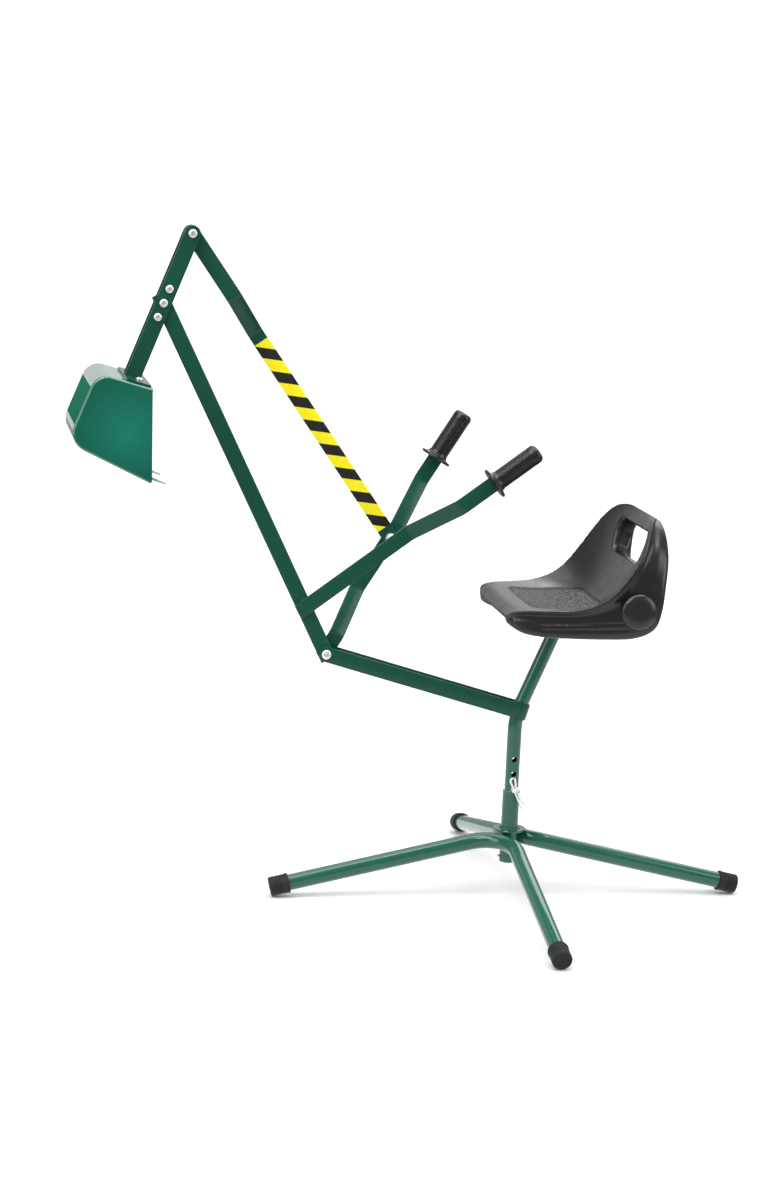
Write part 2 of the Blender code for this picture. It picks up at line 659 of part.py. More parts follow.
def build_lever(turn):
    half = BAR_W / 2
    grip_start = 0.3443
    path = round_end(0.0, LEVER_Y, half, 1)
    path += bend(0.034, LEVER_Y, 0.108, LEVER_MID_Y, half)
    path += bend(0.222, LEVER_MID_Y, 0.304, LEVER_GRIP_Y, half)
    path += [(grip_start + 0.060, LEVER_GRIP_Y, half)]
    lever = add("lever_bar", ribbon(PIVOT_P, LEVER_ANGLE, path, BAR_T), "green_paint", turn)
    drill(lever, PIVOT_P, BOLT_R, turn, -0.03, 0.03)
    drill(lever, along(PIVOT_P, LEVER_ANGLE, LEVER_Q), BOLT_R, turn, 0.03, 0.09)
    add_grip("lever_grip", PIVOT_P, LEVER_ANGLE, grip_start, LEVER_GRIP_Y, turn)
    origin = (PIVOT_P[0], 0.0, PIVOT_P[1])
    boom_face = -HALF_SLOT + 0.0004 + BOOM_T
    washer = sleeve(BOLT_R + GAP, 0.0085, boom_face + GAP, LEVER_Y - BAR_T / 2 - GAP, origin, (0, 1, 0))
    add("pivot_washer", washer, "zinc", turn)
    spacer = sleeve(BOLT_R + GAP, 0.0070, LEVER_Y + BAR_T / 2 + GAP, HALF_SLOT - GAP, origin, (0, 1, 0))
    add("pivot_spacer", spacer, "zinc", turn)


def build_link(swing):
    place_q = along(PIVOT_P, LEVER_ANGLE, LEVER_Q)
    angle = math.atan2(place_q[1] - PIVOT_T[1], place_q[0] - PIVOT_T[0])
    length = math.dist(PIVOT_T, place_q)
    half = BAR_W / 2
    path = round_end(0.0, 0.0, half, 1)
    path += bend(0.114, 0.0, 0.184, LINK_Y, half)
    path += [(0.5 * length, LINK_Y, half)]
    path += round_end(length, LINK_Y, half, -1)
    link = add("link_bar", ribbon(PIVOT_T, angle, path, BAR_T), "green_paint", swing)
    eye = BOLT_R + 0.0047
    drill(link, PIVOT_T, eye, swing, -0.01, 0.01)
    drill(link, place_q, BOLT_R, swing, 0.03, 0.09)
    near = LINK_Y - BAR_T / 2
    origin = (place_q[0], 0.0, place_q[1])
    washer = sleeve(BOLT_R + GAP, 0.0085, near - GAP - 0.0012, near - GAP, origin, (0, 1, 0))
    add("link_washer", washer, "zinc", swing)
    across("link_bolt_low", place_q, near - GAP - 0.0012, LEVER_MID_Y + BAR_T / 2, swing)


# ---------------------------------------------------------------- bucket and its arm
def bucket_line():
    """The outer side-view line of the bucket from the mouth's top round to the lip."""
    return rounded([BUCKET_MOUTH_TOP, BUCKET_BACK_TOP, BUCKET_BACK_FOOT, BUCKET_LIP], [0.026, 0.030], 8)


def inward(line, distance):
    """The line moved towards the bucket's inside."""
    moved = []
    for i, point in enumerate(line):
        before, after = Vector(line[max(i - 1, 0)]), Vector(line[min(i + 1, len(line) - 1)])
        run = (after - before).normalized()
        moved.append((point[0] - run.y * distance, point[1] + run.x * distance))
    return moved


def build_bucket_arm(curl):
    angle = math.atan2(PIVOT_T[1] - PIVOT_M[1], PIVOT_T[0] - PIVOT_M[0])
    top_reach = math.dist(PIVOT_M, PIVOT_T)
    half = BAR_W / 2
    slope = Vector(BUCKET_MOUTH_TOP) - Vector(BUCKET_BACK_TOP)
    slope_angle = math.atan2(slope.y, slope.x)
    lid = Vector(BUCKET_BACK_TOP)
    up = Vector((-math.sin(slope_angle), math.cos(slope_angle)))

    def foot(side):
        """Where an edge of the arm meets the top of the mount plate."""
        start = Vector(along(PIVOT_M, angle, 0.0, side))
        down = -Vector((math.cos(angle), math.sin(angle)))
        height = (start - lid).dot(up) - MOUNT_T - 2 * GAP
        return tuple(start + down * (height / -down.dot(up)))

    outline = [foot(half), foot(-half)]
    outline += arc(PIVOT_T, half, angle - math.pi / 2, angle + math.pi / 2, 12)
    stops = (along(PIVOT_M, angle, STOP_PITCH), along(PIVOT_M, angle, -STOP_PITCH))
    for name, side in (("bucket_arm_near", -1), ("bucket_arm_far", 1)):
        faces = sorted((side * HALF_SLOT, side * (HALF_SLOT + STRAP_T)))
        plate = add(name, prism(outline, *faces), "green_paint", curl)
        for place in (PIVOT_M, PIVOT_T):
            drill(plate, place, BOLT_R, curl, -0.03, 0.03)
        for place in stops:
            drill(plate, place, STOP_R, curl, -0.03, 0.03)

    near, far = -HALF_SLOT - STRAP_T, HALF_SLOT + STRAP_T
    across("boom_bolt", PIVOT_M, near, far, curl, head_r=0.0065)
    across("link_bolt_top", PIVOT_T, near, far, curl, head_r=0.0067)
    across("stop_bolt_upper", stops[0], near, far, curl, STOP_R, 0.0062, 0.010)
    across("stop_bolt_lower", stops[1], near, far, curl, STOP_R, 0.0062, 0.010)
    boom_face = -HALF_SLOT + 0.0004 + BOOM_T
    spacer = sleeve(BOLT_R + GAP, 0.0070, boom_face + GAP, HALF_SLOT - GAP,
                    (PIVOT_M[0], 0.0, PIVOT_M[1]), (0, 1, 0))
    add("boom_spacer", spacer, "zinc", curl)
    for name, side in (("link_spacer_near", -1), ("link_spacer_far", 1)):
        spacer = sleeve(BOLT_R + GAP, 0.0066, BAR_T / 2 + 0.0006, HALF_SLOT - GAP,
                        (PIVOT_T[0], 0.0, PIVOT_T[1]), (0, side, 0))
        add(name, spacer, "zinc", curl)

    run = slope.normalized()
    rear = (Vector(foot(-half)) - lid).dot(run) + 0.010
    corners = [lid + run * a + up * b for a, b in
               ((rear - MOUNT_LENGTH, GAP), (rear, GAP), (rear, GAP + MOUNT_T),
                (rear - MOUNT_LENGTH, GAP + MOUNT_T))]
    plate = prism([tuple(c) for c in corners], -MOUNT_HALF, MOUNT_HALF)
    mount = add("bucket_mount", plate, "green_paint", curl)
    return mount, lid + run * (rear - 0.0165), up


def build_bucket(curl):
    mount, place, up = build_bucket_arm(curl)
    line = bucket_line()
    inner = inward(line, SHEET_T)
    shell = add("bucket_shell", prism(line + inner[::-1], -BUCKET_HALF + GAP, BUCKET_HALF - GAP),
                "green_paint", curl)
    for name, side in (("bucket_side_near", -1), ("bucket_side_far", 1)):
        faces = sorted((side * BUCKET_HALF, side * (BUCKET_HALF + SHEET_T)))
        add(name, prism(line, *faces), "green_paint", curl)

    for side, y in (("near", -MOUNT_BOLT_Y), ("far", MOUNT_BOLT_Y)):
        origin = (place.x, y, place.y)
        axis = (up.x, 0.0, up.y)
        for obj in (mount, shell):
            cut(obj, rod(STOP_R + GAP, -0.012, 0.012, origin, axis), curl)
        seat = 2 * GAP + MOUNT_T
        below = -SHEET_T - GAP
        profile = [(0.0, seat + 0.0036), (0.0028, seat + 0.0036), (0.0052, seat + 0.0018), (0.0052, seat),
                   (STOP_R, seat), (STOP_R, below - 0.0060), (0.0, below - 0.0060)]
        add(f"mount_bolt_{side}", lathe(profile, origin, axis), "zinc", curl)
        nut = hex_ring(0.010, STOP_R + GAP, below - 0.0046, below, origin, axis)
        add(f"mount_nut_{side}", nut, "zinc", curl)

    floor = Vector(BUCKET_LIP) - Vector(BUCKET_BACK_FOOT)
    floor_angle = math.atan2(floor.y, floor.x)
    tip_angle = floor_angle + math.radians(7)
    root = along(BUCKET_LIP, floor_angle, -0.032, SHEET_T + GAP)
    knee = along(BUCKET_LIP, floor_angle, 0.001, SHEET_T + GAP)
    tip = along(knee, tip_angle, 0.027)
    for name, centre_y in (("tooth_near", -TOOTH_Y), ("tooth_far", TOOTH_Y)):
        rings = []
        for place, angle, half, thick in ((root, floor_angle, 0.010, 0.0028), (knee, floor_angle, 0.010, 0.0028),
                                          (along(knee, tip_angle, 0.012), tip_angle, 0.0095, 0.0026),
                                          (tip, tip_angle, 0.0045, 0.0012)):
            high = along(place, angle, 0.0, thick)
            rings.append([(place[0], centre_y - half, place[1]), (place[0], centre_y + half, place[1]),
                          (high[0], centre_y + half, high[1]), (high[0], centre_y - half, high[1])])
        add(name, rings_to_mesh(rings), "zinc", curl, smooth=False)


def main():
    clear_scene()
    root = pivot("digger", (0.0, 0.0))
    turn = pivot("swivel", (0.0, BASE_RIM_Z), root)
    lift = pivot("post_lift", (0.0, BASE_RIM_Z), turn)
    pin_turn = pivot("hitch_pin_turn", (0.0, BASE_RIM_Z + PIN_R + GAP), lift)
    boom_lift = pivot("boom_lift", PIVOT_P, lift)
    lever_turn = pivot("bucket_lever", PIVOT_P, boom_lift)
    link_swing = pivot("link_swing", along(PIVOT_P, LEVER_ANGLE, LEVER_Q), lever_turn)
    curl = pivot("bucket_curl", PIVOT_M, boom_lift)
    build_base(root)
    build_bush(turn)
    build_post(lift, pin_turn)
    build_lower_arm(lift)
    build_seat(lift)
    build_boom(boom_lift)
    build_lever(lever_turn)
    build_link(link_swing)
    build_bucket(curl)
    bpy.context.view_layer.update()


main()
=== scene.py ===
"""Ride-on sandbox digger: the finished look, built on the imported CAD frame."""
import math

import bmesh
import bpy
from mathutils import Matrix, Vector


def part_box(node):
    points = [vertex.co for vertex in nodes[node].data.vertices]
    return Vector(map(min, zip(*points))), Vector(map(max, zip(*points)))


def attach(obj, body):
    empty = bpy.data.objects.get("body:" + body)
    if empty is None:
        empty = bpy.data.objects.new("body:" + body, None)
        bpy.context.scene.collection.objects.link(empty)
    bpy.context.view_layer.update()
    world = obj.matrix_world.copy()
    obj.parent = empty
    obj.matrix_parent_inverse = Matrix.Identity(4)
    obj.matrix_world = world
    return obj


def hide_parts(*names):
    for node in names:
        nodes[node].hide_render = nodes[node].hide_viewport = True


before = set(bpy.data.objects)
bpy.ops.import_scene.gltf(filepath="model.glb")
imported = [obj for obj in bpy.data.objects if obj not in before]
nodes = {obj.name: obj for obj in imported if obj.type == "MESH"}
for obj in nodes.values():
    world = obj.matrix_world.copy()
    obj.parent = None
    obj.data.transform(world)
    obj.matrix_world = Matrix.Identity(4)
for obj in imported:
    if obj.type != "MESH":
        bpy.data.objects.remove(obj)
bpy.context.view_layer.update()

tube_low, tube_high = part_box("base_tube")
POST_X = (tube_low[0] + tube_high[0]) / 2     # the post's axis
RIM_Z = tube_high[2]

# -------------------- sizes in metres, mostly the CAD's
GAP = 0.0003              # play between faces that only just clear each other
LEG_R = 0.0127
FOOT_REACH = 0.379
LEG_SLOPE = math.radians(12.8)
LEG_BEND_R = 0.0625
CAP_R = 0.0155
CAP_LENGTH = 0.031
BASE_R = 0.0135
BASE_WALL = 0.0012
BASE_BOTTOM_Z = 0.056
STUB_BOLT_Z = 0.0625
FLANGE_R = 0.026
FLANGE_Z = 0.1076
FLANGE_T = 0.003
POST_R = 0.011
POST_WALL = 0.0016
POST_BOTTOM_Z = 0.07
POST_BEND_Z = 0.292
POST_BEND_R = 0.12
POST_TILT = math.radians(22.1)
POST_BEND_START_Z = POST_BEND_Z - POST_BEND_R * math.tan(POST_TILT / 2)
POST_TOP_Z = 0.452
PIN_R = 0.004
PIN_HALF = 0.0235
PIN_Z = RIM_Z + PIN_R + GAP
HOLE_PITCH = 0.0236
CLIP_R = 0.0012
CLIP_WIRE_R = 0.0016      # drawn a little thicker than the CAD's wire
BAR_W = 0.024
BAR_T = 0.004
STRAP_T = 0.003
HALF_SLOT = 0.0119
ARM_FACE = HALF_SLOT + STRAP_T + GAP      # |y| of the face under the bolt heads
BOOM_T = 0.0112
BOOM_WALL = 0.0012
PIVOT_P = (-0.307, 0.39)
PIVOT_M = (-0.574, 0.92)
PIVOT_T = (-0.534, 1.024)
BOOM_TOP = 0.014
BOOM_FOOT = 0.01
STOP_PITCH = 0.0225
HANDLE_ANGLE = math.radians(37.2)
HANDLE_ROOT = 0.0812
HANDLE_Y = -0.0137
HANDLE_GRIP_Y = -0.075
HANDLE_GRIP_AT = 0.3425
LEVER_ANGLE = math.radians(58.7)
LEVER_Y = 0.0035
LEVER_MID_Y = 0.06
LEVER_GRIP_Y = 0.1
LEVER_GRIP_AT = 0.3443
LEVER_Q = 0.2012
LINK_Y = 0.0553
GRIP_R = 0.0152
GUARD_R = 0.025
GRIP_LENGTH = 0.083
BUCKET_MOUTH_TOP = (-0.5925, 0.8005)
BUCKET_BACK_TOP = (-0.6755, 0.8225)
BUCKET_BACK_FOOT = (-0.7165, 0.719)
BUCKET_LIP = (-0.5925, 0.6605)
BUCKET_HALF = 0.097
SHEET_T = 0.002
BOSS = (0.1456, 0.4895)
BOSS_R = 0.0275
BOSS_BASE = 0.1542        # |y| where the boss leaves the seat wall
BOSS_CROWN = 0.0092
TOOTH_Y = 0.05
TOOTH_HALF = 0.01
TOOTH_LENGTH = 0.027
EDGE_R = 0.0007           # rounded edges of the flat bars
TAPE_START = 0.2          # along the link, from its top pivot
TAPE_END = 0.549
TAPE_PERIOD = 0.0447
TAPE_YELLOW = 0.51        # share of a period
TAPE_SLANT = -0.9
TAPE_PHASE = 0.0101
POLE_R = 1e-5             # the ring at a pole, which must not collapse
X_AXIS, Y_AXIS, Z_AXIS = (1, 0, 0), (0, 1, 0), (0, 0, 1)

# the camera, fitted to the foot caps and the post
CAMERA_AZIMUTH = -0.2351
CAMERA_DISTANCE = 4.0501
CAMERA_HEIGHT = 1.2116
CAMERA_LENS = 79.428
CAMERA_YAW = 0.0508
CAMERA_PITCH = 0.1813
CAMERA_ROLL = 0.0473


# -------------------- materials
def new_material(name):
    """A material, its node tree and shader, and the object coordinates."""
    mat = bpy.data.materials.new(name)
    mat.use_nodes = True
    tree = mat.node_tree
    coords = node(tree, "ShaderNodeTexCoord").outputs["Object"]
    return mat, tree, tree.nodes["Principled BSDF"], coords


def node(tree, kind, **values):
    made = tree.nodes.new(kind)
    for key, value in values.items():
        if key in made.inputs:
            made.inputs[key].default_value = value
        else:
            setattr(made, key, value)
    return made


def noise(tree, coords, scale, detail=3.0, roughness=0.5):
    tex = node(tree, "ShaderNodeTexNoise", Scale=scale, Detail=detail, Roughness=roughness)
    tree.links.new(coords, tex.inputs["Vector"])
    return tex.outputs["Fac"]


def remap(tree, value, low, high, to_low, to_high):
    made = node(tree, "ShaderNodeMapRange")
    for index, number in enumerate((low, high, to_low, to_high), 1):
        made.inputs[index].default_value = number
    tree.links.new(value, made.inputs[0])
    return made.outputs[0]
def spread(tree, coords, scale, detail, low=0.3, high=0.7, to=(0.0, 1.0), roughness=0.5):
    """Noise between low and high, stretched to another range."""
    return remap(tree, noise(tree, coords, scale, detail, roughness), low, high, *to)
def mix_colour(tree, factor, first, second):
    made = node(tree, "ShaderNodeMix", data_type="RGBA")
    for index, colour in ((6, first), (7, second)):
        if isinstance(colour, tuple):
            made.inputs[index].default_value = (*colour, 1.0)
        else:
            tree.links.new(colour, made.inputs[index])
    tree.links.new(factor, made.inputs[0])
    return made.outputs[2]


def math_node(tree, operation, first, second=None):
    made = node(tree, "ShaderNodeMath", operation=operation)
    for index, value in enumerate((first, second)):
        if value is None:
            continue
        if isinstance(value, (int, float)):
            made.inputs[index].default_value = value
        else:
            tree.links.new(value, made.inputs[index])
    return made.outputs[0]
def vector_math(tree, operation, first, second=None):
    made = node(tree, "ShaderNodeVectorMath", operation=operation)
    tree.links.new(first, made.inputs[0])
    if second is not None:
        made.inputs[1].default_value = second
    return made.outputs["Value"]


def add_bump(tree, shader, height, strength, distance, below=None):
    bump = node(tree, "ShaderNodeBump", Strength=strength, Distance=distance)
    tree.links.new(height, bump.inputs["Height"])
    if below:
        tree.links.new(below, bump.inputs["Normal"])
    tree.links.new(bump.outputs["Normal"], shader.inputs["Normal"])
    return bump.outputs["Normal"]
def dress(tree, shader, colour, rough, **values):
    """Feeds the shader's colour and roughness and sets its other inputs."""
    tree.links.new(colour, shader.inputs["Base Color"])
    tree.links.new(rough, shader.inputs["Roughness"])
    for name, value in values.items():
        shader.inputs[name.replace("_", " ")].default_value = value


def paint(name, dark, light, rough=(0.2, 0.32), glow=None, specular=0.16, coat=0.08):
    """Gloss powder coat with a fine orange peel; glow = (centre, reach, colour) paints a highlight: a lighter
    round patch that stands in for light falling on one area.
    """
    mat, tree, shader, coords = new_material(name)
    colour = mix_colour(tree, spread(tree, coords, 9.0, 4.0, 0.35, 0.65), dark, light)
    # painted highlight: the colour turns lighter towards the glow's centre
    if glow:
        centre, reach, highlight_colour = glow
        near = remap(tree, vector_math(tree, "DISTANCE", coords, centre), 0.0, reach, 1.0, 0.0)
        colour = mix_colour(tree, math_node(tree, "POWER", near, 1.3), colour, highlight_colour)
    dress(tree, shader, colour, spread(tree, coords, 55.0, 5.0, to=rough),
          Specular_IOR_Level=specular, Coat_Weight=coat, Coat_Roughness=0.08)
    wide = add_bump(tree, shader, noise(tree, coords, 320.0, 2.0), 0.1, 0.0006)
    add_bump(tree, shader, noise(tree, coords, 1500.0, 1.0), 0.1, 0.0002, wide)
    return mat


def moulded(name, base, worn, rough, grain, depth, specular=0.16):
    """Moulded plastic or rubber with a fine grain."""
    mat, tree, shader, coords = new_material(name)
    colour = mix_colour(tree, spread(tree, coords, 14.0, 5.0), base, worn)
    dress(tree, shader, colour, spread(tree, coords, 70.0, 4.0, to=rough), Specular_IOR_Level=specular)
    add_bump(tree, shader, noise(tree, coords, grain, 2.0), 0.35, depth)
    return mat


def seat_plastic():
    """Satin plastic. The attribute pad is 1 on the stippled pad; round the pad's edge, where it passes 0.5,
    the groove is painted near black as shade.
    """
    mat, tree, shader, coords = new_material("seat_plastic")
    pad = node(tree, "ShaderNodeAttribute", attribute_name="pad").outputs["Fac"]
    plain = mix_colour(tree, spread(tree, coords, 12.0, 5.0),
                       (0.0075, 0.0075, 0.008), (0.012, 0.012, 0.0125))
    cells = node(tree, "ShaderNodeTexVoronoi", Scale=560.0)
    tree.links.new(coords, cells.inputs["Vector"])
    dots = remap(tree, cells.outputs["Distance"], 0.15, 0.62, 0.0, 1.0)
    speckle = spread(tree, coords, 300.0, 2.0, 0.42, 0.6, roughness=0.7)
    stipple = mix_colour(tree, speckle, (0.002, 0.002, 0.002), (0.12, 0.12, 0.122))
    centred = math_node(tree, "ABSOLUTE", math_node(tree, "SUBTRACT", pad, 0.5))
    # painted shade: the groove round the pad is coloured near black
    groove = remap(tree, centred, 0.22, 0.498, 1.0, 0.0)
    surface = mix_colour(tree, groove, mix_colour(tree, pad, plain, stipple), (0.0015, 0.0015, 0.0015))
    smear = spread(tree, coords, 60.0, 4.0, to=(0.24, 0.34))
    dress(tree, shader, surface, math_node(tree, "ADD", smear, math_node(tree, "MULTIPLY", pad, 0.4)))
    fine = add_bump(tree, shader, noise(tree, coords, 1300.0, 2.0), 0.18, 0.0002)
    height = math_node(tree, "MULTIPLY", pad, math_node(tree, "ADD", dots, speckle))
    add_bump(tree, shader, height, 0.8, 0.0007, fine)
    return mat


def plated(name, base, stain, rough, metallic):
    """Zinc plate or bare steel, a little stained."""
    mat, tree, shader, coords = new_material(name)
    colour = mix_colour(tree, spread(tree, coords, 120.0, 4.0, 0.35, 0.65), base, stain)
    dress(tree, shader, colour, spread(tree, coords, 400.0, 4.0, to=rough), Metallic=metallic)
    add_bump(tree, shader, noise(tree, coords, 900.0, 3.0), 0.12, 0.0002)
    return mat


def striped_tape(start, run, across):
    """Printed tape: black and yellow bands at a slant to the bar."""
    mat, tree, shader, coords = new_material("hazard_tape")
    direction = run + across * TAPE_SLANT
    reach = vector_math(tree, "DOT_PRODUCT", coords, direction)
    shifted = math_node(tree, "SUBTRACT", reach, start.dot(direction) + TAPE_PHASE)
    band = math_node(tree, "FRACT", math_node(tree, "DIVIDE", shifted, TAPE_PERIOD))
    blur = 0.012
    rise = remap(tree, band, TAPE_YELLOW - blur, TAPE_YELLOW + blur, 0.0, 1.0)
    black = math_node(tree, "MULTIPLY", rise, remap(tree, band, 1.0 - 2 * blur, 1.0, 1.0, 0.0))
    scuff = spread(tree, coords, 60.0, 6.0, 0.35, 0.65, roughness=0.7)
    yellow = mix_colour(tree, scuff, (1.0, 0.88, 0.01), (0.92, 0.8, 0.006))
    ink = mix_colour(tree, scuff, (0.006, 0.0065, 0.004), (0.012, 0.0125, 0.009))
    colour = mix_colour(tree, black, yellow, ink)
    dress(tree, shader, colour, spread(tree, coords, 90.0, 4.0, to=(0.28, 0.42)))
    add_bump(tree, shader, noise(tree, coords, 500.0, 2.0), 0.08, 0.0003)
    return mat


GREEN = paint("green_powder_coat", (0.004, 0.064, 0.039), (0.0056, 0.072, 0.044),
              specular=0.26, coat=0.1)
LEG_GREEN = paint("green_tube_coat", (0.005, 0.095, 0.058), (0.0065, 0.106, 0.0655), (0.12, 0.2),
                  specular=0.4, coat=0.5)
PLASTIC = moulded("black_plastic_gloss", (0.012, 0.012, 0.013), (0.018, 0.018, 0.019), (0.2, 0.3),
                  1100.0, 0.0002, 0.5)
RUBBER = moulded("black_rubber_matt", (0.014, 0.014, 0.015), (0.024, 0.024, 0.025), (0.48, 0.62),
                 1400.0, 0.0003)
GRIP = moulded("black_grip_rubber", (0.005, 0.005, 0.0055), (0.009, 0.009, 0.0095), (0.24, 0.34),
               1400.0, 0.0001, 0.5)
SEAT = seat_plastic()
ZINC = plated("zinc_plate", (0.92, 0.93, 0.95), (0.8, 0.81, 0.84), (0.2, 0.32), 0.7)
STEEL = plated("tooth_steel", (0.52, 0.53, 0.54), (0.4, 0.41, 0.42), (0.3, 0.42), 0.7)
NYLON = moulded("nylon_natural", (0.72, 0.72, 0.67), (0.66, 0.66, 0.6), (0.42, 0.52), 800.0, 0.0002)


# -------------------- pieces
def add_object(name, data):
    obj = bpy.data.objects.new(name, data)
    bpy.context.collection.objects.link(obj)
    return obj


def mesh_object(name, bm, shift=POST_X):
    """An object from a bmesh that was made about the post's axis."""
    bmesh.ops.translate(bm, verts=bm.verts, vec=(shift, 0.0, 0.0))
    mesh = bpy.data.meshes.new(name)
    bm.to_mesh(mesh)
    bm.free()
    return add_object(name, mesh)


def shade(obj, degrees=None):
    """Smooth shading, kept hard at edges sharper than the angle."""
    obj.data.shade_smooth()
    if degrees:
        obj.data.set_sharp_from_angle(angle=math.radians(degrees))


def piece(name, bm, mat, body, stands_for=(), smooth=40.0, fix_normals=True):
    """A finished piece from a bmesh made about the post's axis."""
    bmesh.ops.remove_doubles(bm, verts=bm.verts, dist=1e-6)
    if fix_normals:
        bmesh.ops.recalc_face_normals(bm, faces=bm.faces)
    obj = mesh_object(name, bm)
    obj.data.materials.append(mat)
    shade(obj, smooth)
    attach(obj, body)
    if stands_for:
        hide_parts(*stands_for)
    return obj


def join_rows(bm, rows, around=False, flip=False):
    """Faces between each row of vertices and the next."""
    for first, second in zip(rows[:-1], rows[1:]):
        for i in range(len(first) if around else len(first) - 1):
            k = (i + 1) % len(first)
            quad = (first[i], first[k], second[k], second[i])
            bm.faces.new(quad[::-1] if flip else quad)


def skin(rings, closed_path=False):
    """A surface through rings of points, capped unless its path is closed."""
    bm = bmesh.new()
    made = [[bm.verts.new(point) for point in ring] for ring in rings]
    join_rows(bm, made + made[:1] if closed_path else made, around=True)
    if not closed_path:
        bm.faces.new(made[0][::-1])
        bm.faces.new(made[-1])
    return bm


def corner_angles(steps, first=0):
    """The angles of the points of a rounded corner."""
    return [math.radians(90 * i / steps) for i in range(first, steps + 1)]


def axes(axis):
    axis = Vector(axis).normalized()
    side = axis.orthogonal().normalized()
    return axis, side, axis.cross(side)


def circle(centre, size, side, other, count):
    """Points round a centre. size is the radius, or ("hex", flats) for a hexagon."""
    points = []
    for i in range(count):
        a = math.tau * i / count
        radius = size
        if isinstance(size, tuple):
            radius = 0.5 * size[1] / math.cos((a + math.pi / 6) % (math.pi / 3) - math.pi / 6)
        points.append(centre + max(radius, POLE_R) * (math.cos(a) * side + math.sin(a) * other))
    return points


def turned(sections, origin, axis, sides=64, closed=False):
    """Rings about an axis. A section is (size, distance), with a circle's size."""
    axis, side, other = axes(axis)
    return skin([circle(Vector(origin) + axis * distance, size, side, other, sides)
                 for size, distance in sections], closed)


def sweep(path, radius, normal, sides, wall=None, wobble=None):
    """A round bar or hollow tube along a flat path; wobble(i) scales each ring."""
    normal = Vector(normal).normalized()
    path = [Vector(point) for point in path]

    def ring(index, size):
        before = path[max(index - 1, 0)]
        after = path[min(index + 1, len(path) - 1)]
        if wobble:
            size *= wobble(index)
        return circle(path[index], size, normal, normal.cross((after - before).normalized()), sides)

    outer = [ring(i, radius) for i in range(len(path))]
    if wall is None:
        return skin(outer)
    inner = [ring(i, radius - wall) for i in range(len(path))]
    return skin(outer + inner[::-1], closed_path=True)


def weld_ring(name, centre, axis, radius, body, bead, mat=GREEN):
    """A ripple-faced weld bead round a tube."""
    axis, side, other = axes(axis)
    rings = []
    for i in range(120):
        a = math.tau * i / 120
        out = math.cos(a) * side + math.sin(a) * other
        size = bead * (1 + 0.16 * math.sin(a * 26))
        rings.append(circle(Vector(centre) + out * radius, size, out, axis, 10))
    return piece(name, skin(rings, closed_path=True), mat, body, smooth=None)


def weld_line(name, start, end, normal, body, mat=GREEN):
    """A ripple-faced weld bead along a straight run."""
    spacing, ripple = 0.0004, 0.0022
    count = max(4, int((end - start).length / spacing))
    path = [start.lerp(end, i / count) for i in range(count + 1)]

    def size(i):
        taper = min(1.0, (min(i, count - i) + 1) / 5)
        return taper * (1 + 0.16 * math.sin(i * spacing / ripple * 2 * math.pi))

    return piece(name, sweep(path, 0.0017, normal, 10, wobble=size), mat, body, smooth=None)


def arc(centre, radius, start, end, steps):
    return [(centre[0] + radius * math.cos(start + (end - start) * i / steps),
             centre[1] + radius * math.sin(start + (end - start) * i / steps))
            for i in range(steps + 1)]


def rounded(points, radii, steps):
    """A line with each inner corner rounded to its radius."""
    line = [points[0]]
    for i in range(1, len(points) - 1):
        corner = Vector(points[i])
        back = (Vector(points[i - 1]) - corner).normalized()
        ahead = (Vector(points[i + 1]) - corner).normalized()
        half = 0.5 * math.acos(max(-1.0, min(1.0, back.dot(ahead))))
        reach = radii[i - 1] / math.tan(half)
        centre = corner + (back + ahead).normalized() * (radii[i - 1] / math.sin(half))
        first = corner + back * reach - centre
        last = corner + ahead * reach - centre
        turn = math.atan2(first.x * last.y - first.y * last.x, first.dot(last))
        start = math.atan2(first.y, first.x)
        line += arc(centre, radii[i - 1], start, start + turn, steps)
    line.append(points[-1])
    return line


def along(start, angle, distance, side=0.0):
    """A point of the side view, so far along a line and to its side."""
    return (start[0] + distance * math.cos(angle) - side * math.sin(angle),
            start[1] + distance * math.sin(angle) + side * math.cos(angle))


def at(place, y=0.0):
    return Vector((place[0], y, place[1]))


def bar_section(half_w, half_t, radius=EDGE_R, steps=3):
    """A rounded rectangle as (across the width, across the thickness)."""
    radius = min(radius, half_w * 0.9, half_t * 0.9)
    points = []
    for sx, sy, first in ((1, 1, 0), (-1, 1, 90), (-1, -1, 180), (1, -1, 270)):
        for i in range(steps + 1):
            a = math.radians(first + 90 * i / steps)
            points.append((sx * (half_w - radius) + radius * math.cos(a),
                           sy * (half_t - radius) + radius * math.sin(a)))
    return points


def ribbon(start, angle, path, thickness):
    """A flat bar bent sideways, with softened edges: path is (distance along, y, half width)."""
    rings = []
    for i, (distance, y, half) in enumerate(path):
        before = path[max(i - 1, 0)]
        after = path[min(i + 1, len(path) - 1)]
        run = Vector((after[0] - before[0], after[1] - before[1])).normalized()
        step = Vector((-run.y, run.x))
        if 0 < i < len(path) - 1:
            first = Vector((distance - before[0], y - before[1])).normalized()
            step /= max(0.5, run.dot(first))
        ring = []
        for across, through in bar_section(half, thickness / 2):
            x, z = along(start, angle, distance + through * step.x, across)
            ring.append((x, y + through * step.y, z))
        rings.append(ring)
    return skin(rings)
def bar_ring(start, angle, distance, y, section):
    """A section set square across a bar of the side view."""
    ring = []
    for across, through in section:
        x, z = along(start, angle, distance, across)
        ring.append((x, y + through, z))
    return ring


def round_end(centre, y, radius, direction):
    """The path of a ribbon's rounded end; direction is 1 at its start and -1 at its end."""
    steps, first = 18, math.radians(3)
    angles = [first + (math.pi / 2 - first) * i / steps for i in range(steps + 1)]
    points = [(centre - direction * radius * math.cos(a), y, radius * math.sin(a)) for a in angles]
    return points if direction > 0 else points[::-1]


